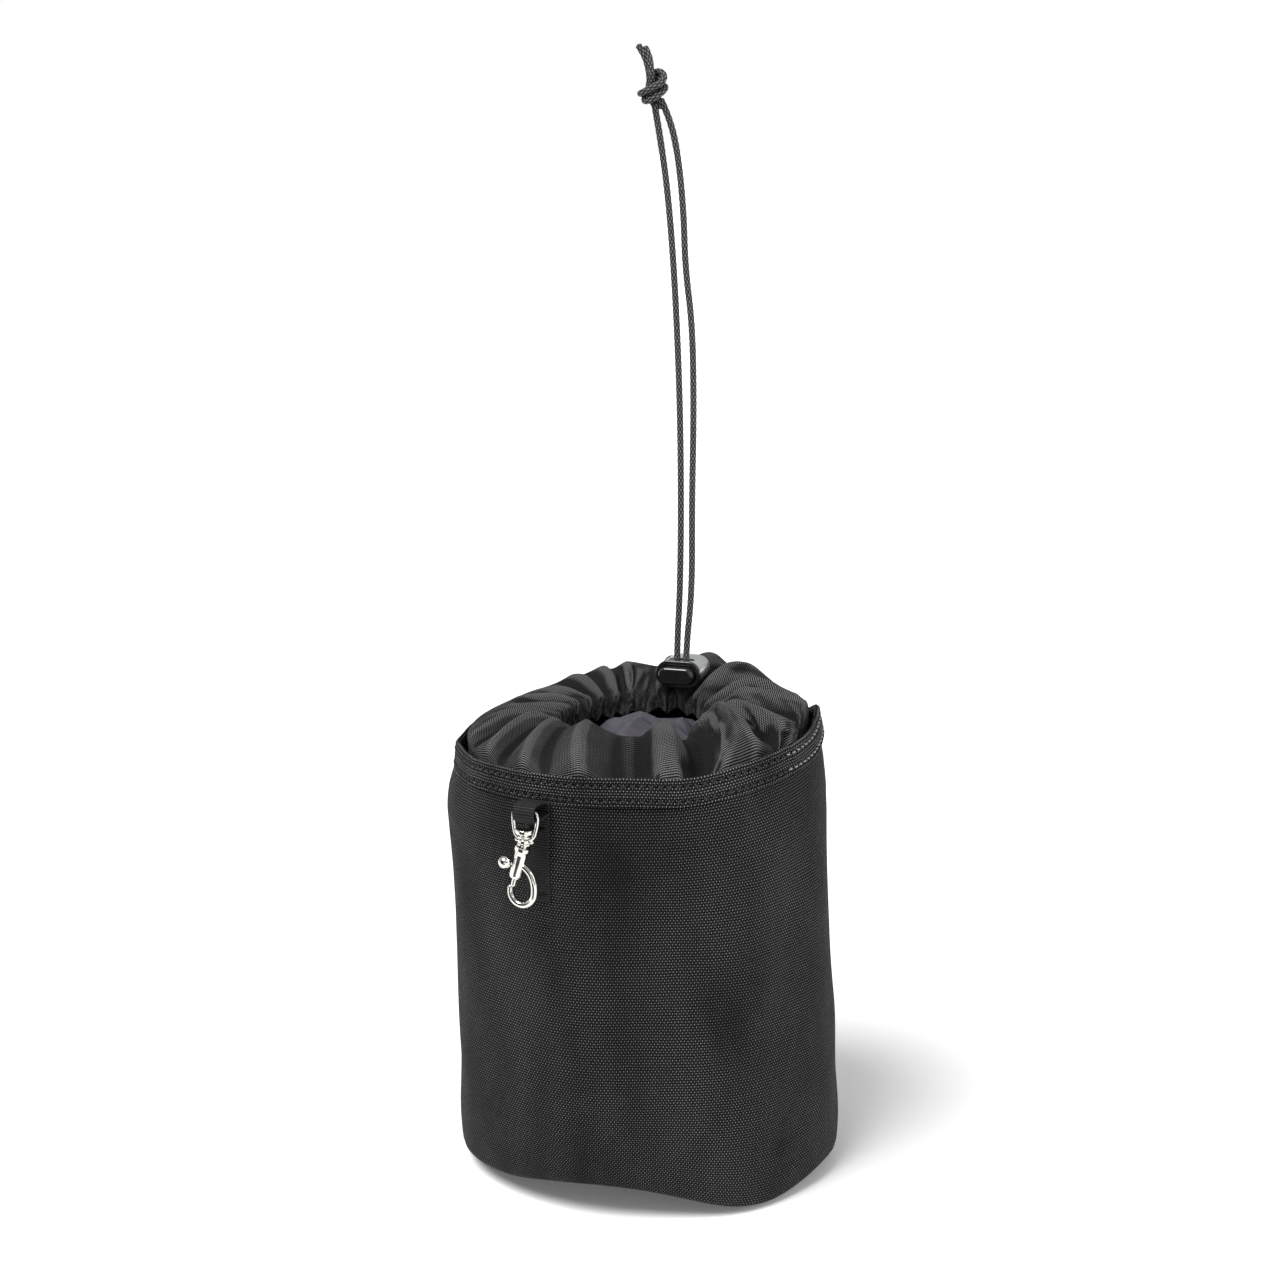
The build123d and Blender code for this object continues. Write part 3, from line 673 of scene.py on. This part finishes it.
def settle(start, rest, pins):
    """Lets a closed band of cloth buckle from its start shape towards its flat lengths."""
    size = MM * SETTLE_SCALE
    rows, cols = start.shape[:2]
    uv = np.zeros((rows, cols + 1, 2))
    cloth = grid("settling", start * SETTLE_SCALE, uv)
    cloth.shape_key_add(name="Basis")
    flat = cloth.shape_key_add(name="flat")
    flat.data.foreach_set("co", (rest.reshape(-1, 3) * size).astype(np.float32).ravel())
    flat.value = 0
    group = cloth.vertex_groups.new(name="pins")
    for row in pins:
        group.add(list(range(row * cols, (row + 1) * cols)), 1.0, "REPLACE")
    soft = cloth.modifiers.new("cloth", "CLOTH")
    settings = soft.settings
    settings.vertex_group_mass = "pins"
    settings.rest_shape_key = flat
    settings.effector_weights.gravity = CLOTH_GRAVITY
    for owner, values in ((settings, CLOTH), (soft.collision_settings, CLOTH_TOUCH)):
        for name, value in values.items():
            setattr(owner, name, value)
    soft.point_cache.frame_start = 1
    soft.point_cache.frame_end = SETTLE_FRAMES
    for number in range(1, SETTLE_FRAMES + 1):
        scene.frame_set(number)
    done = cloth.evaluated_get(bpy.context.evaluated_depsgraph_get())
    points = np.zeros(rows * cols * 3, np.float32)
    done.data.vertices.foreach_get("co", points)
    mesh = cloth.data
    bpy.data.objects.remove(cloth)
    bpy.data.meshes.remove(mesh)
    scene.frame_set(1)
    return points.reshape(rows, cols, 3).astype(float) / size


def mark_crests(obj, points):
    """Stores how far each point stands above its neighbours: the folds' edges catch the light."""
    after, before = (lambda step: np.roll(points, -step, 1)), (lambda step: np.roll(points, step, 1))
    up = np.cross(after(1) - before(1), np.gradient(points, axis=0))
    up = up / np.maximum(np.linalg.norm(up, axis=-1, keepdims=True), 1e-9)
    up = up * np.where(up[..., 2:] < 0, -1, 1)
    rise = sum(points - (after(step) + before(step)) / 2 for step in CREST_STEPS)
    high = (rise * up).sum(axis=-1) / len(CREST_STEPS)
    crest = obj.data.attributes.new("crest", "FLOAT", "POINT")
    crest.data.foreach_set("value", np.clip(high / CREST_RISE, -1, 1).astype(np.float32).ravel())


def make_collar():
    start, cloth = collar_start()
    rows, cols = start.shape[:2]
    a = np.linspace(-np.pi, np.pi, cols + 1)
    flat_x, flat_y = COLLAR_R * np.sin(a[None, :-1]), -COLLAR_R * np.cos(a[None, :-1])
    rest = np.stack(np.broadcast_arrays(flat_x, flat_y, cloth), axis=-1)
    points = settle(start, rest, (0, 1, COLLAR_ROWS))
    tall = np.concatenate([cloth, cloth[:, :1]], axis=1)
    uv = np.stack(np.broadcast_arrays((a * COLLAR_R * MM)[None, :], tall * MM), axis=-1)
    collar = grid("gathered_collar", points, uv)
    mark_crests(collar, points)
    fine = collar.modifiers.new("smooth", "SUBSURF")
    fine.levels = fine.render_levels = 1
    thicken(collar, 0.45)
    place(collar, collar_fabric, "collar_fabric", "collar", "drawcord_channel")


# ---- drawcord ----
CORD_D = 3.0
STRANDS = 6  # braided yarns round the cord each way
BRAID_PITCH = 3.0
LEFT_ROUTE = [
    (0.01494, 0.03483, 0.219), (0.01494, 0.03483, 0.236), (0.0163, 0.0346, 0.262),
    (0.0166, 0.0346, 0.304), (0.0159, 0.0349, 0.351), (0.0136, 0.0348, 0.401),
    (0.0109, 0.0347, 0.437), (0.0076, 0.0345, 0.464), (0.0039, 0.0344, 0.4845),
]
RIGHT_ROUTE = [
    (0.01906, 0.03357, 0.219), (0.01906, 0.03357, 0.233), (0.0219, 0.0329, 0.262),
    (0.0216, 0.0331, 0.304), (0.0223, 0.0331, 0.346), (0.0215, 0.0333, 0.385),
    (0.0181, 0.0335, 0.411), (0.0173, 0.0336, 0.436), (0.0149, 0.0339, 0.460),
    (0.0112, 0.0341, 0.4775), (0.0066, 0.0343, 0.4866),
]


def line_of(name, route):
    """Points in mm along the smooth NURBS line of a route in metres."""
    curve = bpy.data.curves.new(name, "CURVE")
    curve.dimensions = "3D"
    spline = curve.splines.new("NURBS")
    spline.points.add(len(route) - 1)
    for point, place in zip(spline.points, route):
        point.co = (*place, 1)
    spline.order_u = 3
    spline.use_endpoint_u = True
    spline.resolution_u = 48
    bare = bpy.data.objects.new(name, curve)
    mesh = bpy.data.meshes.new_from_object(bare)
    line = np.array([v.co for v in mesh.vertices]) / MM
    bpy.data.meshes.remove(mesh)
    bpy.data.objects.remove(bare)
    bpy.data.curves.remove(curve)
    return line


def line_mm(name, points):
    """The same from points in mm."""
    return line_of(name, [tuple(point * MM) for point in points])


def even(line, step):
    """The same line with points step mm apart."""
    along = np.concatenate([[0], np.cumsum(np.linalg.norm(np.diff(line, axis=0), axis=1))])
    at = np.linspace(0, along[-1], max(3, int(along[-1] / step)))
    return np.stack([np.interp(at, along, line[:, k]) for k in range(3)], axis=1), at


def frames(line, first=(1, 0, 0)):
    """Two directions across a line at each of its points, without twist."""
    tangent = unit(np.gradient(line, axis=0))
    across = np.zeros_like(line)
    side = np.array(first, float)
    for i, t in enumerate(tangent):
        across[i] = side = unit(side - t * (side @ t))
    return across, np.cross(tangent, across)


def braided(name, line, sides=32):
    """A round braided cord along a line in mm, and its line."""
    line, at = even(line, 0.28)
    across, up = frames(line)
    a = np.linspace(0, 2 * np.pi, sides + 1)
    turn, run = STRANDS * a[None, :] / (2 * np.pi), at[:, None] / BRAID_PITCH
    one, two = turn + run, turn - run
    over = (np.floor(one) + np.floor(two)) % 2
    ridge, other = np.abs(np.sin(np.pi * one)), np.abs(np.sin(np.pi * two))
    relief = np.where(over > 0.5, ridge**0.6 * other**0.3, other**0.6 * ridge**0.3)
    ends = np.minimum(at, at[-1] - at)[:, None]
    close = np.sqrt(np.clip(ends / (CORD_D * 0.25), 0.02, 1))
    radius = (CORD_D / 2 - 0.16 + 0.2 * relief) * close
    ring = line[:, None, :] + radius[..., None] * (
        across[:, None, :] * np.cos(a)[None, :, None] + up[:, None, :] * np.sin(a)[None, :, None]
    )
    return grid(name, ring[:, :-1], np.stack([one, two], axis=-1)), line


def cord_material():
    """Braided yarn: each yarn's crown catches the light, and the gaps are dark."""
    n = Nodes("braided_cord")
    height, _ = weave(n, *n.uv())
    fine = n.noise(n.place(), 1500.0)
    shine = n.times(n.power(height, 2.5), n.ramp(fine, 0.3, 0.7, 0.6, 1.2))
    n.set(
        Base_Color=n.mix(shine, (0.0004, 0.0004, 0.0004), (0.23, 0.232, 0.226)),
        Roughness=0.6,
        Specular_IOR_Level=0.2,
    )
    n.bump(n.plus(height, n.times(fine, 0.3)), 0.12)
    return n.material


KNOT = np.array([3.3, 34.3, 491.8])
# the doubled cord's way through its overhand knot, in mm from the knot's middle
KNOT_WAY = [
    (3, 0.5, -10.5), (1.5, 1, -6.5), (-1, 2, -3), (-0.5, 3, 1.5), (1.5, 1.5, 5.4), (4.4, -0.6, 4.6),
    (4.4, -3, 1.8), (1, -4.4, -0.2), (-3.4, -3.2, -2.4), (-4.6, 0.2, -3), (-2.5, 3.2, -2),
    (2.5, 3.4, 0), (4.6, 0.2, -0.4), (2.8, -3.2, -2.6), (-1, -3.6, -5), (-3.4, -0.5, -5.4),
    (-1.2, 1, -2), (-0.8, -0.6, 3), (-1.4, -1.2, 7.5),
]
TAIL_ENDS = [(-6.9, -0.5, 18.4), (-3.8, 0.6, 17.6)]


def make_cords():
    braid = cord_material()
    for name, route in (("left", LEFT_ROUTE), ("right", RIGHT_ROUTE)):
        cord, path = braided(f"drawcord_{name}_strand", line_of(name, route))
        place(cord, braid, "drawcord", f"drawcord_{name}")

    pieces = []
    middle, _ = even(line_mm("knot", KNOT + np.array(KNOT_WAY)), 0.4)
    across, _ = frames(middle, (0.5, -0.2, 1))
    for letter, side, end in zip("ab", (-1, 1), TAIL_ENDS):
        way = middle + across * (side * CORD_D * 0.47)
        top, last = way[-1], KNOT + np.array(end)
        bend = top * 0.45 + last * 0.55 + np.array([0.9, 0, 0.4])
        turns, _ = braided(f"knot_strand_{letter}", way)
        place(turns, braid, "drawcord", "drawcord_knot")
        tail, _ = braided(f"drawcord_tail_{letter}", line_mm("tail", (way[-6], top, bend, last)))
        place(tail, braid, "drawcord", "drawcord_tails")
        pieces += [turns, tail]


# ---- webbing ----
STRAP_AZ = -30.0
STRAP_W = 12.0
STRAP_T = 1.4
RIB_PITCH = 1.15
TACK_Z = (149.5, 179.6)
SNAP_AZ = -29.0
SNAP_WALL_R = 86.6  # the wall's radius behind the snap
EYE_TOP_Z = 188.6
LOOP_BAR = (12.2, 187.7)  # out from the wall and up, to the snap's eye bar
# the loop seen from the side: out from the wall and up
LOOP_SIDE = [
    (0.8, 189.6), (4.5, 191.4), (9, 192), (12.8, 191.2), (14.6, 188.6), (14.6, 186.2),
    (13.2, 184.4), (9.6, 184), (4.5, 185.2), (0.8, 185.4),
]


def webbing_material():
    """Ribbed webbing: fine warp ribs with a soft shine on each crown."""
    n = Nodes("ribbed_webbing")
    u, v = n.uv()
    rib, warp = (
        n.math("ABSOLUTE", n.math("SINE", n.times(along, math.pi / (pitch * MM))))
        for along, pitch in ((v, RIB_PITCH), (u, 0.55))
    )
    height = n.times(n.power(rib, 0.6), n.plus(n.times(warp, 0.4), 0.6))
    uneven = n.ramp(n.noise(n.place(), 1100.0), 0.3, 0.7, 0.6, 1.3)
    shine = n.times(n.power(height, 3.5), uneven)
    n.set(
        Base_Color=n.mix(shine, (0.0004, 0.0004, 0.0004), (0.042, 0.042, 0.043)),
        Roughness=0.6,
        Specular_IOR_Level=0.2,
    )
    n.bump(height, 0.2)
    return n.material


def ribbon(name, line, along, width, thickness, out=None):
    """A band of webbing along a line: rounded edges, and ribs across it.

    It faces out, or turns with its line.
    """
    line, at = even(line, 0.22)
    if out is None:
        out = unit(np.cross(along, np.gradient(line, axis=0)))
    out = np.broadcast_to(out, line.shape)
    side = np.linspace(0, 2 * np.pi, 33)
    x = np.sign(np.cos(side)) * np.abs(np.cos(side)) ** 0.35 * width / 2
    y = np.sign(np.sin(side)) * np.abs(np.sin(side)) ** 0.7 * thickness / 2
    rib = 0.16 * np.abs(np.sin(np.pi * at / RIB_PITCH))[:, None] * np.sign(np.sin(side))[None, :]
    points = line[:, None, :] + along * x[:, None] + out[:, None, :] * (y + rib)[..., None]
    return grid(name, points[:, :-1], grid_uv(x, at))


def make_webbing():
    material = webbing_material()
    along, outward = facing(STRAP_AZ)
    line = wall_point(STRAP_AZ, np.linspace(146.5, 190.5, 60), 0.75)
    strap = ribbon("webbing_strap_ribbed", line, along, STRAP_W, STRAP_T, outward)
    place(strap, material, "webbing", "webbing_strap")
    for number, z in enumerate(TACK_Z, 1):
        middle = wall_point(STRAP_AZ, z, STRAP_T + 0.25)
        steps = enumerate(np.linspace(-4.6, 4.6, 31))
        zigzag = [middle + along * u + [0, 0, 0.8 if i % 2 else -0.8] for i, u in steps]
        tack = tube(f"webbing_bartack_{number}", zigzag, 0.24, sides=8)
        place(tack, thread_dark, "thread", "webbing_bartacks")

    # the loop leaves the strap's top, goes round the eye's bar and comes back
    along, outward = facing(SNAP_AZ)
    start = np.array([bag_x(EYE_TOP_Z), 0, EYE_TOP_Z]) + outward * SNAP_WALL_R
    way = [start + outward * x + np.array([0, 0, z - EYE_TOP_Z]) for x, z in LOOP_SIDE]
    loop = ribbon("webbing_loop_ribbed", line_mm("loop", way), along, 10.6, 1.2)
    place(loop, material, "webbing", "webbing_loop")


# ---- snap hook ----
SNAP_TILT = 3.5
SNAP_SLANT = 13.0
EYE_H = 14.2
EYE_WAY = [
    (-4, 0.5), (4, 0.5), (5.6, -0.3), (6.1, -2.6), (5.8, -6), (4.3, -12.6), (-4.3, -12.6),
    (-5.8, -6), (-6.1, -2.6), (-5.6, -0.3),
]
# distance up the swivel's axis from the eye's foot, radius
EYE_COLLAR = [
    (1.9, 1.4), (1.9, 2.3), (1.6, 2.6), (0.3, 2.6), (0, 3), (-0.6, 3), (-0.8, 2.6), (-0.9, 1.4),
]
POST = [
    (-3, 1.3), (2.4, 1.3), (2.4, 2.6), (2.7, 2.9), (3.3, 2.9), (3.5, 2.2), (4.3, 2.2), (4.5, 3.9),
    (4.8, 4.1), (6.2, 4.1), (6.5, 3.8), (6.6, 0),
]
# distance down the barrel from the swivel, radius
BARREL = [
    (1.6, 1.2), (1.6, 3.1), (1.8, 3.45), (3.4, 3.45), (4.2, 3.1), (5.2, 2.95), (10, 2.9),
    (15.6, 2.8), (16.4, 2.5), (16.5, 1.25), (12, 1.2),
]
STEM_DOWN = 10.7
STEM_TURN = 30.0
BOLT = [(9.9, 0.0), (9.9, 1.1), (20.4, 1.1), (21.0, 0.7), (21.0, 0.0)]
BALL = [(0.0, 0.65), (3.3, 0.65), (3.45, 1.1)]
HOOK_CENTRE = -36.1
GATE_SPRING = (3.25, 6.6)  # down the barrel from the swivel, and length
LOCK_YAW = 17.0
LOCK_AT = np.array([17.0, 34.2, 222.5])  # the middle of the cord lock's slot
LOCK_SPRING = (12.5, 9.2)  # back from the slot to the bore's floor, and length
HOOK_R = 6.05
HOOK_TUBE_R = 1.45
ARM = [(6.1, -34.2), (5.6, -31.2), (4.4, -28.2), (2.4, -26.0), (0.2, -24.8)]


def snap_frame():
    """The hanging snap's origin at the eye's top, and its directions: across, up, outward."""
    level, outward = facing(SNAP_AZ)
    up = np.array([0, 0, 1.0])
    origin = np.array([bag_x(EYE_TOP_Z), 0, EYE_TOP_Z]) + outward * (SNAP_WALL_R + LOOP_BAR[0])
    cos, sin = math.cos(math.radians(SNAP_TILT)), math.sin(math.radians(SNAP_TILT))
    return origin, level * cos - up * sin, up * cos + level * sin, outward


def tube(name, line, radius, sides=28, loop=False):
    """A round bar along a line in mm, with rounded ends or closed on itself."""
    line = np.asarray(line, float)
    across, up = frames(line)
    radius = np.broadcast_to(np.asarray(radius, float), (len(line),))
    a = np.linspace(0, 2 * np.pi, sides + 1)[:-1]
    spoke = across[:, None] * np.cos(a)[None, :, None] + up[:, None] * np.sin(a)[None, :, None]
    ring = line[:, None] + radius[:, None, None] * spoke
    if loop:
        ring = np.concatenate([ring, ring[:1]])
    else:
        tips = []
        for end, inner in ((0, 1), (-1, -2)):
            step = unit(line[end] - line[inner]) * radius[end]
            spoke = ring[end] - line[end]
            angles = np.radians([30, 60, 89])
            tips.append([line[end] + spoke * math.cos(b) + step * math.sin(b) for b in angles])
        ring = np.concatenate([tips[0][::-1], ring, tips[1]])
    return grid(name, ring, np.zeros((len(ring), sides + 1, 2)))


def lathe(name, origin, axis, profile, cut=None, sides=64):
    """A turned piece: distance along the axis and radius, in mm.

    cut(along, angle, radius) says which faces are left out.
    """
    axis = unit(axis)
    side = unit(np.cross(axis, snap_frame()[3]))
    front = np.cross(side, axis)
    along, radius = [], []
    for (l0, r0), (l1, r1) in zip(profile, profile[1:]):
        count = max(2, int(math.hypot(l1 - l0, r1 - r0) / 0.25))
        along.extend(np.linspace(l0, l1, count, endpoint=False))
        radius.extend(np.linspace(r0, r1, count, endpoint=False))
    along = np.array(along + [profile[-1][0]])
    radius = np.maximum(np.array(radius + [profile[-1][1]]), 0.01)
    a = np.linspace(-np.pi, np.pi, sides + 1)[:-1]
    points = (
        origin
        + axis * along[:, None, None]
        + radius[:, None, None] * (side * np.cos(a)[None, :, None] + front * np.sin(a)[None, :, None])
    )
    obj = grid(name, points, np.zeros((len(along), sides + 1, 2)))
    if cut is not None:
        shape = bmesh.new()
        shape.from_mesh(obj.data)
        inner = []
        for face in shape.faces:
            row, col = divmod(face.index, sides)
            if cut((along[row] + along[row + 1]) / 2, a[col] + np.pi / sides, radius[row]):
                inner.append(face)
        bmesh.ops.delete(shape, geom=inner, context="FACES")
        shape.to_mesh(obj.data)
        shape.free()
    obj.modifiers.new("edges", "EDGE_SPLIT").split_angle = math.radians(50)
    return obj


def coil(name, start, axis, length, radius, wire, turns):
    """A coil spring along an axis, in mm, with its last turns closed up at both ends."""
    across = unit(np.cross(axis, (0.3, 0.2, 1.0)))
    beside = np.cross(axis, across)
    t = np.linspace(0, 1, 36 * turns + 1)
    along = wire + (length - 2 * wire) * smooth(t, -0.06, 1.06)
    a = 2 * np.pi * turns * t[:, None]
    line = start + along[:, None] * axis + radius * (across * np.cos(a) + beside * np.sin(a))
    return tube(name, line, wire, sides=10)


def make_springs(foot, down):
    """The gate's spring above its bolt, and the cord lock's behind its plunger."""
    top = foot + down * GATE_SPRING[0]
    gate = coil("gate_coil_spring", top, down, GATE_SPRING[1], 0.84, 0.15, 8)
    place(gate, spring_steel, "spring_steel", "bolt_spring", body="snap_hook")
    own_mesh(gate)
    out = facing(-LOCK_YAW)[1]
    back = LOCK_AT - out * LOCK_SPRING[0]
    push = coil("lock_coil_spring", back, out, LOCK_SPRING[1], 1.9, 0.3, 5)
    place(push, spring_steel, "spring_steel", "lock_spring", body="cord_lock")
    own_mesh(push)


def make_snap():
    origin, across, up, outward = snap_frame()

    def at(u, w):
        return origin + across * u + up * w

    def plate(obj, body, node):
        place(obj, nickel, "nickel", node, body=body)

    way = np.array([at(u, w) for u, w in EYE_WAY])
    line, _ = even(line_mm("eye", np.concatenate([way[-3:], way, way[:3]])), 0.25)
    # keep one turn of the closed line
    start = int(np.argmin(np.linalg.norm(line - way[1], axis=1)))
    rest = np.linalg.norm(line - line[start], axis=1)
    rest[: start + 60] = 9
    turn = line[start : int(np.argmin(rest)) + 1]
    foot = at(0, -EYE_H)
    bar = [at(u, -13.1) for u in np.linspace(-3.7, 3.7, 12)]
    plate(tube("snap_eye_wire", turn, 0.85, loop=True), "swivel_eye", "snap_eye")
    plate(tube("snap_eye_foot", bar, 0.95), "swivel_eye", "snap_eye")
    plate(lathe("snap_eye_collar", foot, up, EYE_COLLAR), "swivel_eye", "snap_eye")
    plate(lathe("swivel_post_turned", foot, up, POST), "snap_hook", "swivel_post")

    slant, turn = math.radians(SNAP_SLANT), math.radians(STEM_TURN)
    down = -across * math.sin(slant) - up * math.cos(slant)
    left = np.cross(down, outward)
    stem = left * math.cos(turn) + outward * math.sin(turn)
    side = unit(left)
    front = np.cross(side, down)
    stem_angle = math.atan2(float(stem @ front), float(stem @ side))

    def slot(along, angle, radius):
        """The slit in the barrel that the thumb ball's stem runs in."""
        off = abs((angle - stem_angle + np.pi) % (2 * np.pi) - np.pi) * radius
        run = max(abs(along - (STEM_DOWN - 2.75)) - 3.1, 0)
        return 2.4 < radius < 3.2 and math.hypot(off, run) < 0.95

    plate(lathe("snap_barrel", foot, down, BARREL, slot, sides=96), "snap_hook", "snap_body")
    plate(lathe("snap_bolt_rod", foot, down, BOLT), "snap_gate", "snap_bolt")
    dome = np.radians(np.linspace(-58, 90, 24))
    ball = BALL + [(5.95 + 2.9 * math.sin(b), 2.9 * math.cos(b)) for b in dome]
    knob = lathe("snap_thumb_ball", foot + down * STEM_DOWN, stem, ball)
    plate(knob, "snap_gate", "snap_bolt")

    # the hook's ring, then its arm up into the barrel
    a = np.radians(np.linspace(172, 352, 13))
    ring = [(HOOK_R * math.cos(b), HOOK_CENTRE + HOOK_R * math.sin(b)) for b in a]
    ring, run = even(line_mm("hook", [at(*p) for p in ring + ARM]), 0.3)
    thick = HOOK_TUBE_R * (0.8 + 0.2 * smooth(run, 0.0, 6.0))
    plate(tube("snap_hook_ring", ring, thick), "snap_hook", "snap_body")
    make_springs(foot, down)


# ---- stage, light and camera ----
FLOOR_TONE = 0.92
WORLD_LIGHT = 0.42


def stage_sheet(name, corners, material):
    mesh = bpy.data.meshes.new(name)
    mesh.from_pydata(corners, [], [(0, 1, 2, 3)])
    mesh.materials.append(material)
    sheet = link(name, mesh)
    return sheet


def make_stage():
    far = 30.0
    n = Nodes("pale_floor")
    tone = (FLOOR_TONE,) * 3
    pale = n.mix(n.noise(n.place(), 3.0), tone, tuple(1.02 * c for c in tone))
    n.set(Base_Color=pale, Roughness=0.9, Emission_Color=(1, 1, 1, 1), Emission_Strength=0.1)
    stage_sheet("floor", [(-far, -far, 0), (far, -far, 0), (far, far, 0), (-far, far, 0)], n.material)


FILLER_R = 29.0
FILLER_TOP = 207.5
FILLER_WAVES = (16.0, 22.0, 27.0, 12.0)  # how far apart its creases are


def make_filler():
    """Crumpled film that keeps the mouth open: a prop, not a part of the bag."""
    rings, sides = 70, 240
    r = np.linspace(0.2, FILLER_R, rings)[:, None]
    a = np.linspace(0, 2 * np.pi, sides + 1)[None, :-1]
    x, y = r * np.cos(a), r * np.sin(a)
    height = 0 * x
    for wave in FILLER_WAVES:
        turn, shift, bow = chance.uniform(0, 2 * np.pi, 3)
        along, beside = x * np.cos(turn) + y * np.sin(turn), x * np.sin(turn) - y * np.cos(turn)
        across = along / wave + 0.35 * np.sin(beside / 8 + bow)
        height = height + 0.055 * wave * (1 - 2 * np.abs((across + shift) % 1 - 0.5) * 2)
    top = FILLER_TOP + height - 7.0 * (r / FILLER_R) ** 2
    points = np.stack([MOUTH_X + 5 + x, y - 3, top], axis=-1)
    film = grid("mouth_filler_prop", points[::-1], np.zeros((rings, sides + 1, 2)))
    n = Nodes("crumpled_film")
    where = n.place()
    n.set(
        Base_Color=n.mix(n.noise(where, 120.0, 3.0), (0.035, 0.031, 0.043), (0.078, 0.072, 0.09)),
        Roughness=n.ramp(n.noise(where, 300.0, 2.0), 0.3, 0.7, 0.25, 0.5),
        Specular_IOR_Level=0.5,
    )
    n.bump(n.noise(where, 260.0, 4.0), 0.4)
    film.data.materials.append(n.material)


def make_card(name, corners):
    """A black card out of the picture, for the bright metal to mirror."""
    n = Nodes(name)
    black = n.mix(n.noise(n.place(), 5.0), (0.004, 0.004, 0.004), (0.008, 0.008, 0.008))
    n.set(Base_Color=black, Roughness=0.9)
    card = stage_sheet(name, corners, n.material)
    card.visible_camera = card.visible_shadow = False


def make_sun(name, toward, strength, angle):
    """Soft light from a direction, the same all over the floor."""
    light = bpy.data.lights.new(name, "SUN")
    light.energy = strength
    light.angle = math.radians(angle)
    link(name, light).rotation_euler = Vector(toward).to_track_quat("Z", "Y").to_euler()


def make_camera():
    camera = link("camera", bpy.data.cameras.new("camera"))
    camera.location = (-0.0025, -1.110, 0.481)
    camera.rotation_euler = (math.radians(78), 0, 0)
    camera.data.lens = 70
    camera.data.sensor_width = 36
    camera.data.clip_start = 0.05
    scene.camera = camera


def make_world():
    """White to the camera, and a dimmer grey for the light and the reflections it gives."""
    world = bpy.data.worlds.new("studio")
    scene.world = world
    world.use_nodes = True
    tree = world.node_tree
    path = tree.nodes.new("ShaderNodeLightPath")
    strength = tree.nodes.new("ShaderNodeMapRange")
    strength.inputs["To Min"].default_value = WORLD_LIGHT
    strength.inputs["To Max"].default_value = 1.0
    tree.links.new(path.outputs["Is Camera Ray"], strength.inputs["Value"])
    tree.links.new(strength.outputs["Result"], tree.nodes["Background"].inputs["Strength"])
    tree.nodes["Background"].inputs["Color"].default_value = (1, 1, 1, 1)
    scene.view_settings.view_transform = "Standard"


make_world()
make_camera()
make_stage()
make_filler()
for name, (x0, y0), (x1, y1), low, high in (
    ("card_right", (0.55, -1.3), (0.95, -0.9), 0.05, 1.0),
    ("card_left", (-1.2, -0.3), (-0.5, -1.2), 0.0, 0.7),
):
    make_card(name, [(x0, y0, low), (x1, y1, low), (x1, y1, high), (x0, y0, high)])
CARD_Z = 0.003
CARD_SPOT = ((-0.9, -1.3), (-0.06, -1.3), (-0.06, -0.32), (-0.9, -0.32))
make_card("card_floor", [(x, y, CARD_Z) for x, y in CARD_SPOT])
make_sun("key", (-0.55, -0.55, 1.2), 3.4, 32)
make_sun("fill", (0.9, -0.8, 0.5), 1.0, 50)
make_body()
make_hem()
make_collar()
make_cords()
make_webbing()
make_snap()
for node, material in (
    ("lock_barrel", silver),
    ("lock_flange", gloss_black),
    ("lock_plunger", gloss_black),
):
    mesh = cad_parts[node].data
    mesh.materials.clear()
    mesh.materials.append(material)
